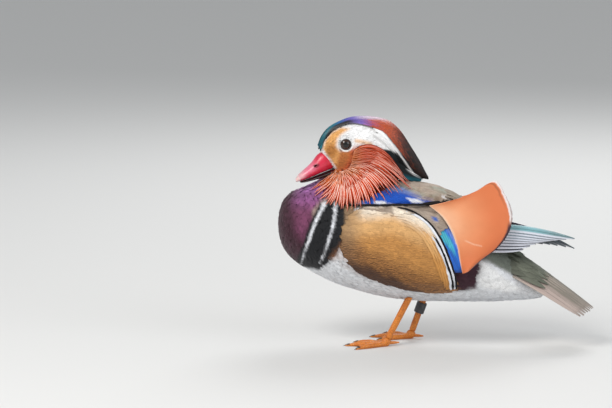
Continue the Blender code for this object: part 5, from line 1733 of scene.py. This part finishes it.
def makeTail(draw):
    profile, count, columns, dye = np.array(tail["profile"]), tail["count"], tail["columns"], tail["dyes"]
    spines, ups = [], []
    for k in range(count):
        across = (2 * k + 1) / count - 1
        reach = 1.0 - draw.uniform(0, 0.012)
        lift = 0.35 + 2.2 * (1 - abs(across))
        spine, up = tailFeather(across, 0.0, reach, np.linspace(0, 1, len(profile)), lift)
        spines.append(spine)
        ups.append(up)
    widths = tail["half"] * np.tile(profile, (count, 1))
    piece, points = vaneMesh("tail_feathers", spines, ups, widths, columns, 0.12)
    rank, along, across = vaneSteps(count, len(profile), columns)
    colour = plain(dye["web"], points)
    lay(colour, dye["root"], 0.7 * eased((0.62 - along) / 0.3))
    outer = eased((np.abs(rank / (count - 1) * 2 - 1) - 0.55) / 0.3)
    lay(colour, dye["outer"], 0.7 * outer * eased((along - 0.25) / 0.3))
    rim = np.maximum(eased((np.abs(across) - 0.72) / 0.2), eased((along - 0.93) / 0.05))
    lay(colour, dye["rim"], 0.75 * rim)
    paint(piece, toned(colour, draw.uniform(0.86, 1.1, count)))
    thicken(piece, tail["wall"])
    return piece


def makeTailCoverts(draw):
    profile, wide = np.array(tail["covertProfile"]), tail["covertsAcross"]
    steps = np.linspace(0, 1, len(profile))
    spines, ups, widths = [], [], []
    for tier in range(tail["tiers"]):
        start = tail["firstTier"] + tail["tierStep"] * tier
        left = tail["tiers"] - tier
        for k in range(math.ceil(wide)):
            across = (k + 0.5 * (tier % 2)) / wide * 2 - 1
            if abs(across) > 0.98:
                continue
            length = (0.30 + 0.02 * (left - 1)) * draw.uniform(0.88, 1.1)
            spine, up = tailFeather(across, start, start + length, steps, 2.6 + 0.25 * left)
            # the roots sink into the tail
            spines.append([p - u * 3.5 * float(eased(1 - s * 3.5)) for p, u, s in zip(spine, up, steps)])
            ups.append(up)
            widths.append(tail["covertHalf"] * draw.uniform(0.9, 1.1) * profile)
    piece, points = vaneMesh("tail_coverts", spines, ups, widths, 5, 0.18)
    paint(piece, toned(plain(tail["dyes"]["covert"], points), draw.uniform(0.75, 1.15, len(spines))))
    return piece


finishPiece(makeTail(draw), flightFeather, "feather_tail", "tail")
finishPiece(makeTailCoverts(draw), covertFeather, "feather_tail", "tail")
print("tail laid")

# bill: two mandibles drawn out from rings along the mouth line

bill = {
    "pitch": math.radians(-22), "gape": (-99.0, 166.5), "sides": 28,
    # distance from the gape, top, bottom, half width
    "upper": [
        (-4.0, 19.0, 0.0, 7.0), (2.0, 18.8, 0.0, 8.0), (6.0, 18.2, 0.1, 8.1), (10.0, 16.2, 0.2, 7.9),
        (14.0, 13.6, 0.2, 7.6), (19.0, 11.4, 0.2, 7.3), (24.0, 9.7, 0.3, 6.9), (28.5, 8.2, 0.6, 6.1),
        (32.5, 6.3, 1.0, 4.6), (35.4, 4.2, 1.4, 2.4),
    ],
    "lower": [
        (-9.0, -0.5, -5.6, 5.6), (-2.0, -0.4, -5.6, 6.2), (6.0, -0.3, -5.0, 6.4), (14.0, -0.2, -4.1, 6.2),
        (22.0, -0.1, -3.0, 5.5), (28.0, 0.3, -2.0, 4.4), (32.0, 0.8, -0.8, 2.2),
    ],
    "nostril": (12.5, 9.5, 5.6), "nostrilSize": (2.6, 2.0, 1.15),
    "nail": 30.3, "knots": 16,
    "dyes": shades(
        shell=(214, 40, 72), pink=(238, 150, 176), root=(206, 22, 50), pale=(244, 204, 206),
        rim=(196, 30, 52), nail=(242, 222, 218), nostril=(110, 18, 34),
        under=(34, 12, 12), underRoot=(90, 22, 26)),
}


def billFrame():
    # from the bill's own axes (along, across, up) to where it sits on the turned head
    pitch = bill["pitch"]
    along = Vector((-math.cos(pitch), 0.0, math.sin(pitch)))
    up = Vector((math.sin(pitch), 0.0, math.cos(pitch)))
    columns = Matrix((along, up.cross(along), up)).transposed().to_4x4()
    gape = Vector((bill["gape"][0], 0.0, bill["gape"][1])) * metre
    pivot = Vector((bird["neckX"], 0.0, 0.0)) * metre
    turn = Matrix.Translation(pivot) @ Matrix.Rotation(bird["headTurn"], 4, "Z") @ Matrix.Translation(-pivot)
    return turn @ Matrix.Translation(gape) @ columns


def placed(name):
    # the new primitive, with its place in its mesh
    piece = bpy.context.object
    piece.name = name
    bpy.ops.object.transform_apply(location=True, rotation=True, scale=True)
    return piece


def makeMandible(name, stations):
    # a ring, extruded from station to station and sized at each, in the bill's own axes
    deselect()
    along, top, bottom, half = stations[0]
    bpy.ops.mesh.primitive_circle_add(
        vertices=bill["sides"], radius=metre, fill_type="NGON", rotation=(0, math.pi / 2, 0),
        location=(along * metre, 0, (top + bottom) / 2 * metre))
    form = placed(name)
    bpy.ops.object.mode_set(mode="EDIT")
    bpy.ops.mesh.select_all(action="SELECT")
    bpy.ops.transform.resize(value=(1, half, (top - bottom) / 2))
    last = stations[0]
    for station in smoothRows(stations, bill["knots"])[1:]:
        step = (station - np.array(last)) * metre
        rise = (station[1] + station[2] - last[1] - last[2]) / 2 * metre
        bpy.ops.mesh.extrude_region_move(TRANSFORM_OT_translate={"value": (step[0], 0, rise)})
        wide = station[3] / last[3]
        tall = (station[1] - station[2]) / (last[1] - last[2])
        bpy.ops.transform.resize(value=(1, wide, tall))
        last = station
    bpy.ops.mesh.select_all(action="SELECT")
    bpy.ops.mesh.normals_make_consistent(inside=False)
    bpy.ops.object.mode_set(mode="OBJECT")
    rounding = form.modifiers.new("rounding", "SUBSURF")
    rounding.levels = rounding.render_levels = 2
    applyAll(form)
    form.data.shade_smooth()
    return form


def makeNostrils(upper):
    along, up, out = bill["nostril"]
    for side in (-1, 1):
        deselect()
        bpy.ops.mesh.primitive_uv_sphere_add(
            segments=24, ring_count=12, radius=metre,
            location=(along * metre, side * out * metre, up * metre))
        bpy.context.object.scale = bill["nostrilSize"]
        pit = placed("pit")
        cut = upper.modifiers.new("pit", "BOOLEAN")
        cut.operation = "DIFFERENCE"
        cut.object = pit
        cut.solver = "EXACT"
        applyAll(upper)
        bpy.data.objects.remove(pit)


def makeBillMaterial(name, deep):
    # the painted colours, blotched a little deeper, with a waxy gloss: reds on the upper mandible, a painted
    # shadow's near black on the lower
    material = newMaterial(name, 0.34, 0.0, 0.25, 0.5)
    inputs = shaderOf(material).inputs
    inputs["Coat Roughness"].default_value = 0.25
    inputs["Subsurface Weight"].default_value = 0.12
    inputs["Subsurface Scale"].default_value = 0.002
    blotch = ramped(material, noise(material, 160.0, 4.0), 0.4, 0.65, 0.0, 0.25)
    coloured(material, mixed(material, blotch, plumage(material), deep))
    bumped(material, noise(material, 420.0, 4.0), 0.12, 0.3)
    return material


def upperColours(points):
    along, up = points[:, 0], points[:, 2]
    dye = bill["dyes"]
    colour = plain(dye["shell"], points)
    # painted highlight: pale pink along the top of the upper mandible
    lay(colour, dye["pink"], 0.55 * eased((up - 4.0 + 0.02 * along) / 4) * eased((along - 8) / 10))
    lay(colour, dye["root"], 0.8 * eased((6 - along) / 5))
    lay(colour, dye["pale"], 0.7 * eased((along - 21) / 9) * eased((up - 1.6) / 2.4))
    lay(colour, dye["rim"], 0.7 * eased((1.6 - up) / 1.6) * eased((30 - along) / 6))
    lay(colour, dye["nail"], 0.8 * eased((along - bill["nail"]) / 1.6))
    # painted shade: darker red in and round the nostril pit
    nostril = np.hypot((along - bill["nostril"][0]) / 3.4, (up - bill["nostril"][1]) / 1.9)
    lay(colour, dye["nostril"], 0.85 * eased((1.15 - nostril) / 0.45))
    return colour


def lowerShadowColours(points):
    # painted shadow: the lower mandible near black, as it lies in shade under the upper one and the chin, a
    # little redder at its root
    colour = plain(bill["dyes"]["under"], points)
    lay(colour, bill["dyes"]["underRoot"], 0.6 * eased((4 - points[:, 0]) / 6))
    return colour


def finishMandible(form, colours, material, node):
    paint(form, colours(pointsOf(form)))
    form.data.transform(billFrame())
    form.data.update()
    form.data.shade_smooth()
    finishPiece(form, material, "bill", node)


upper = makeMandible("bill_top", bill["upper"])
lower = makeMandible("bill_under", bill["lower"])
makeNostrils(upper)
finishMandible(upper, upperColours, makeBillMaterial("billShell", (0.36, 0.02, 0.05)), "bill_upper")
finishMandible(lower, lowerShadowColours, makeBillMaterial("billLowerShadowed", (0.02, 0.005, 0.005)), "bill_lower")
print("bill made")

# eyes: a glossy ball with its lids

eye = {
    "centre": (-87.4, 13.7, 191.6), "radius": 6.3, "lidRadius": 4.85, "lidThickness": 0.6, "lidOut": 4.1,
    "forward": math.radians(8),
    # metres from the middle of the pupil to the iris and to the rim
    "iris": (0.0026, 0.0031), "rim": (0.0052, 0.0062),
    # rows of small feathers round the lids: count, start, length, lift
    "ring": ((64, 6.0, 3.6, 0.2), (58, 5.1, 2.8, 0.7)), "ringHalf": 0.55,
    "ringSteps": (0.0, 0.4, 0.8, 1.0), "ringProfile": [0.6, 1.0, 0.85, 0.2], "whiteTo": 7.5,
    # how strongly each step of them is pulled to the skin, and between which heights
    "ringPulls": ((1, 0.5), (2, 1.0), (3, 1.0)), "ringHeights": (0.7, 1.2),
}


def eyePlace(side, out):
    # a place on the eye's axis, some way out of its centre, before the head is turned
    x, y, z = eye["centre"]
    return np.array([x, side * (y + out), z])


def makeEyeMaterial(side):
    # a dark brown iris round a black pupil, under a clear wet surface
    material = newMaterial("eyeGloss" + ("Left" if side < 0 else "Right"), 0.08, 0.0, 0.5, 0.3)
    shaderOf(material).inputs["Coat Roughness"].default_value = 0.02
    fromPupil = newNode(material, "ShaderNodeVectorMath", operation="DISTANCE")
    material.node_tree.links.new(objectPlace(material), fromPupil.inputs[0])
    fromPupil.inputs[1].default_value = tuple(headTurned(eyePlace(side, eye["radius"])) * metre)
    away = fromPupil.outputs["Value"]
    iris = ramped(material, away, *eye["iris"])
    colour = mixed(material, iris, (0.004, 0.004, 0.005), (0.035, 0.014, 0.008))
    rim = ramped(material, away, *eye["rim"])
    coloured(material, mixed(material, rim, colour, (0.01, 0.008, 0.01)))
    return material


def makeEye(side, word):
    deselect()
    bpy.ops.mesh.primitive_uv_sphere_add(
        segments=40, ring_count=24, radius=eye["radius"] * metre,
        location=headTurned(eyePlace(side, 0.0)) * metre)
    ball = placed("eyeball_" + word)
    ball.data.shade_smooth()
    finishPiece(ball, makeEyeMaterial(side), "eye", "eye_" + word)
    deselect()
    bpy.ops.mesh.primitive_torus_add(
        major_radius=eye["lidRadius"] * metre, minor_radius=eye["lidThickness"] * metre,
        major_segments=48, minor_segments=12, location=headTurned(eyePlace(side, eye["lidOut"])) * metre,
        rotation=(math.pi / 2, 0, bird["headTurn"] + side * eye["forward"]))
    lid = placed("eyelids_" + word)
    lid.data.shade_smooth()
    skinTone = speckled(
        "lidSkin" + word, 0.5, 900.0, (0.03, 0.024, 0.026), (0.09, 0.07, 0.07), (1500.0, 0.4, 0.2))
    finishPiece(lid, skinTone, "eye")


def makeEyeRing(side, word, draw):
    # rows of the smallest feathers, lying outwards from the lids
    centre = eyePlace(side, eye["lidOut"])
    axis = unit(np.array([-math.sin(eye["forward"]), side * math.cos(eye["forward"]), 0.0]))
    first = unit(np.cross(axis, [0.0, 0.0, 1.0]))
    second = np.cross(axis, first)
    spines = []
    for count, start, length, lift in eye["ring"]:
        for k in range(count):
            angle = 2 * math.pi * (k + draw.uniform(-0.3, 0.3)) / count
            ray = first * math.cos(angle) + second * math.sin(angle)
            spine = []
            for step in eye["ringSteps"]:
                reach = start + length * draw.uniform(0.95, 1.05) * step
                sunk = 0.1 + 0.05 * (reach - 5) ** 2
                spine.append(centre + ray * reach - axis * sunk + axis * lift * (0.3 + step))
            spines.append(spine)
    spines = headTurned(np.array(spines))
    for spine in spines:
        for step, pull in eye["ringPulls"]:
            place, normal = (np.array(found) for found in skinTree.find_nearest(Vector(spine[step]))[:2])
            height = (spine[step] - place) @ normal
            spine[step] += normal * (np.clip(height, *eye["ringHeights"]) - height) * pull
    count = len(spines)
    ups = turnedUps(np.tile(axis, (count, len(eye["ringSteps"]), 1)))
    widths = eye["ringHalf"] * np.tile(eye["ringProfile"], (count, 1))
    piece, points = vaneMesh("eye_ring_feathers_" + word, spines, ups, widths, 3, 0.2, np.ones(count, bool))
    colour = headColours(points)
    near = np.linalg.norm(points - headTurned(centre), axis=1)
    lay(colour, dyes["white"], eased((eye["whiteTo"] - near) / 1.2))
    paint(piece, colour)
    finishPiece(piece, faceFeather, "feather_face")


for side, word in sides:
    makeEye(side, word)
    makeEyeRing(side, word, draw)
print("eyes set")

# legs and feet: the solids' own forms melted soft, with scutes, webs and claws

leg = {
    # voxel, smoothing
    "tarsus": (0.6, 8), "foot": (0.55, 5),
    "dyes": shades(yellow=(226, 136, 46), orange=(204, 112, 34), edge=(176, 98, 38)),
}


def makeLegMaterial():
    material = newMaterial("legScutes", 0.45, 0.0, 0.1, 0.45)
    cells = newNode(material, "ShaderNodeTexVoronoi", feature="DISTANCE_TO_EDGE")
    cells.inputs["Scale"].default_value = 620.0
    material.node_tree.links.new(stretchedPlace(material, (1.0, 1.0, 0.75)), cells.inputs["Vector"])
    edge = ramped(material, cells.outputs["Distance"], 0.0, 0.12)
    blotch = ramped(material, noise(material, 150.0), 0.35, 0.7)
    colour = mixed(material, blotch, leg["dyes"]["yellow"], leg["dyes"]["orange"])
    coloured(material, mixed(material, edge, leg["dyes"]["edge"], colour))
    bumped(material, edge, 0.25, 0.25)
    return material


def soften(name, source, voxel, smoothing):
    form = mergedCopy(source)
    form.name = name
    melt(form, voxel, 0.5, smoothing)
    form.data.shade_smooth()
    return form


claws = {
    "length": 6.0, "radius": 1.25, "tip": 0.15, "sides": 14, "cuts": 3, "rise": 1.75, "hook": 0.038,
    "inToe": 4.4, "turns": (26.0, -5.0, -40.0), "toes": (35.0, 39.0, 36.0),
    "joints": {-1: (-44.7, 22.0), 1: (-23.4, 22.0)},
}


def makeClaw(side, length, turn):
    x, y = claws["joints"][side]
    heading = side * math.radians(turn)
    ahead = Vector((-math.cos(heading), -math.sin(heading), 0))
    deselect()
    bpy.ops.mesh.primitive_cone_add(
        vertices=claws["sides"], radius1=claws["radius"] * metre, radius2=claws["tip"] * metre,
        depth=claws["length"] * metre, end_fill_type="NGON")
    claw = bpy.context.object
    bpy.ops.object.mode_set(mode="EDIT")
    bpy.ops.mesh.select_all(action="SELECT")
    bpy.ops.mesh.subdivide(number_cuts=claws["cuts"])
    bpy.ops.object.mode_set(mode="OBJECT")
    start = Vector((x, side * y, 0)) + ahead * (length - claws["inToe"])
    middle = start + ahead * claws["length"] / 2 + Vector((0, 0, claws["rise"]))
    turnTo = ahead.to_track_quat("Z", "Y").to_matrix().to_4x4()
    claw.data.transform(Matrix.Translation(middle * metre) @ turnTo)
    for vertex in claw.data.vertices:
        reach = max(0.0, (vertex.co / metre - start).dot(ahead))
        vertex.co.z = max(0.1 * metre, vertex.co.z - reach**2 * claws["hook"] * metre)
    claw.data.shade_smooth()
    return claw


def makeClaws(side, word, material):
    claw = joined("claws_" + word, [makeClaw(side, *toe) for toe in zip(claws["toes"], claws["turns"])])
    finishPiece(claw, material, "leg")


legMaterial = makeLegMaterial()
hornMaterial = speckled("clawHorn", 0.35, 600.0, (0.05, 0.032, 0.02), (0.16, 0.1, 0.05))
for side, word in sides:
    finishPiece(soften("tarsus_" + word, "leg_" + word, *leg["tarsus"]), legMaterial, "leg", "leg_" + word)
    finishPiece(soften("webbed_foot_" + word, "foot_" + word, *leg["foot"]),
                legMaterial, "leg", "foot_" + word)
    makeClaws(side, word, hornMaterial)
print("feet made")

# the closed band on the right leg

band = {
    "height": 30.5, "length": 10.5, "radius": 4.9, "wall": 0.9, "ankle": (-9.5, 21.0, 44.0),
    "joint": (-23.4, 22.0, 4.4), "sides": 56, "bevel": 0.3,
}


def makeBand():
    ankle, joint = Vector(band["ankle"]), Vector(band["joint"])
    run = (ankle - joint).normalized()
    middle = joint + run * (band["height"] - joint.z) / run.z
    deselect()
    bpy.ops.mesh.primitive_cylinder_add(
        vertices=band["sides"], radius=band["radius"] * metre, depth=band["length"] * metre,
        end_fill_type="NOTHING", location=middle * metre, rotation=run.to_track_quat("Z", "Y").to_euler())
    ring = placed("leg_band")
    wall = ring.modifiers.new("wall", "SOLIDIFY")
    wall.thickness = band["wall"] * metre
    wall.offset = -1
    edge = ring.modifiers.new("edge", "BEVEL")
    edge.width = band["bevel"] * metre
    edge.segments = 3
    applyAll(ring)
    choose(ring)
    bpy.ops.object.shade_smooth_by_angle(angle=math.radians(40))
    plastic = speckled(
        "bandPlastic", 0.42, 300.0, (0.035, 0.036, 0.04), (0.06, 0.06, 0.065), (800.0, 0.15, 0.2))
    finishPiece(ring, plastic, "ring", "leg_ring")


makeBand()
print("band made")

# floor, lights and camera: the values here are in metres, and the camera stands by the photo's

stage = {
    "floorSize": 24.0, "floorTint": (0.72, 0.72, 0.71, 1), "lightAim": (0, 0, 0.1),
    # place, size, power, tint
    "lights": {
        "keyLight": ((-0.9, -1.3, 1.5), 0.9, 26, (1.0, 0.98, 0.95)),
        "fillLight": ((1.4, -0.9, 0.9), 1.2, 9, (0.95, 0.97, 1.0)),
        "backLight": ((0.3, 1.5, 1.4), 1.0, 14, (1.0, 1.0, 1.0)),
    },
    "roomTint": (0.86, 0.88, 0.9, 1), "roomStrength": 0.55, "clipEnd": 30,
}


def makeFloor():
    deselect()
    bpy.ops.mesh.primitive_plane_add(size=stage["floorSize"], location=(0, 0, 0))
    floor = bpy.context.object
    floor.name = "floor"
    material = newMaterial("paleFloor", 0.85)
    shaderOf(material).inputs["Base Color"].default_value = stage["floorTint"]
    floor.data.materials.append(material)


def makeLight(name, place, size, power, tint):
    data = bpy.data.lights.new(name, "AREA")
    data.size = size
    data.energy = power
    data.color = tint
    lamp = bpy.data.objects.new(name, data)
    lamp.location = place
    lamp.rotation_euler = (Vector(stage["lightAim"]) - Vector(place)).to_track_quat("-Z", "Y").to_euler()
    bpy.context.scene.collection.objects.link(lamp)


def makeRoom():
    world = bpy.data.worlds.new("paleRoom")
    world.use_nodes = True
    background = world.node_tree.nodes["Background"]
    background.inputs[0].default_value = stage["roomTint"]
    background.inputs[1].default_value = stage["roomStrength"]
    bpy.context.scene.world = world
    bpy.context.scene.view_settings.view_transform = "Standard"


def makeCamera():
    target = Vector(photo["target"]) * metre
    sideways, tilt = photo["azimuth"], photo["elevation"]
    forward = Vector((
        -math.sin(sideways) * math.cos(tilt), math.cos(sideways) * math.cos(tilt), -math.sin(tilt)))
    data = bpy.data.cameras.new("photoCamera")
    data.lens = data.sensor_width * photo["distance"] / photo["frameWidth"]
    data.clip_end = stage["clipEnd"]
    camera = bpy.data.objects.new("photoCamera", data)
    camera.location = target - forward * photo["distance"] * metre
    camera.rotation_euler = forward.to_track_quat("-Z", "Y").to_euler()
    bpy.context.scene.collection.objects.link(camera)
    bpy.context.scene.camera = camera


makeFloor()
for name, values in stage["lights"].items():
    makeLight(name, *values)
makeRoom()
makeCamera()
print("stage set")
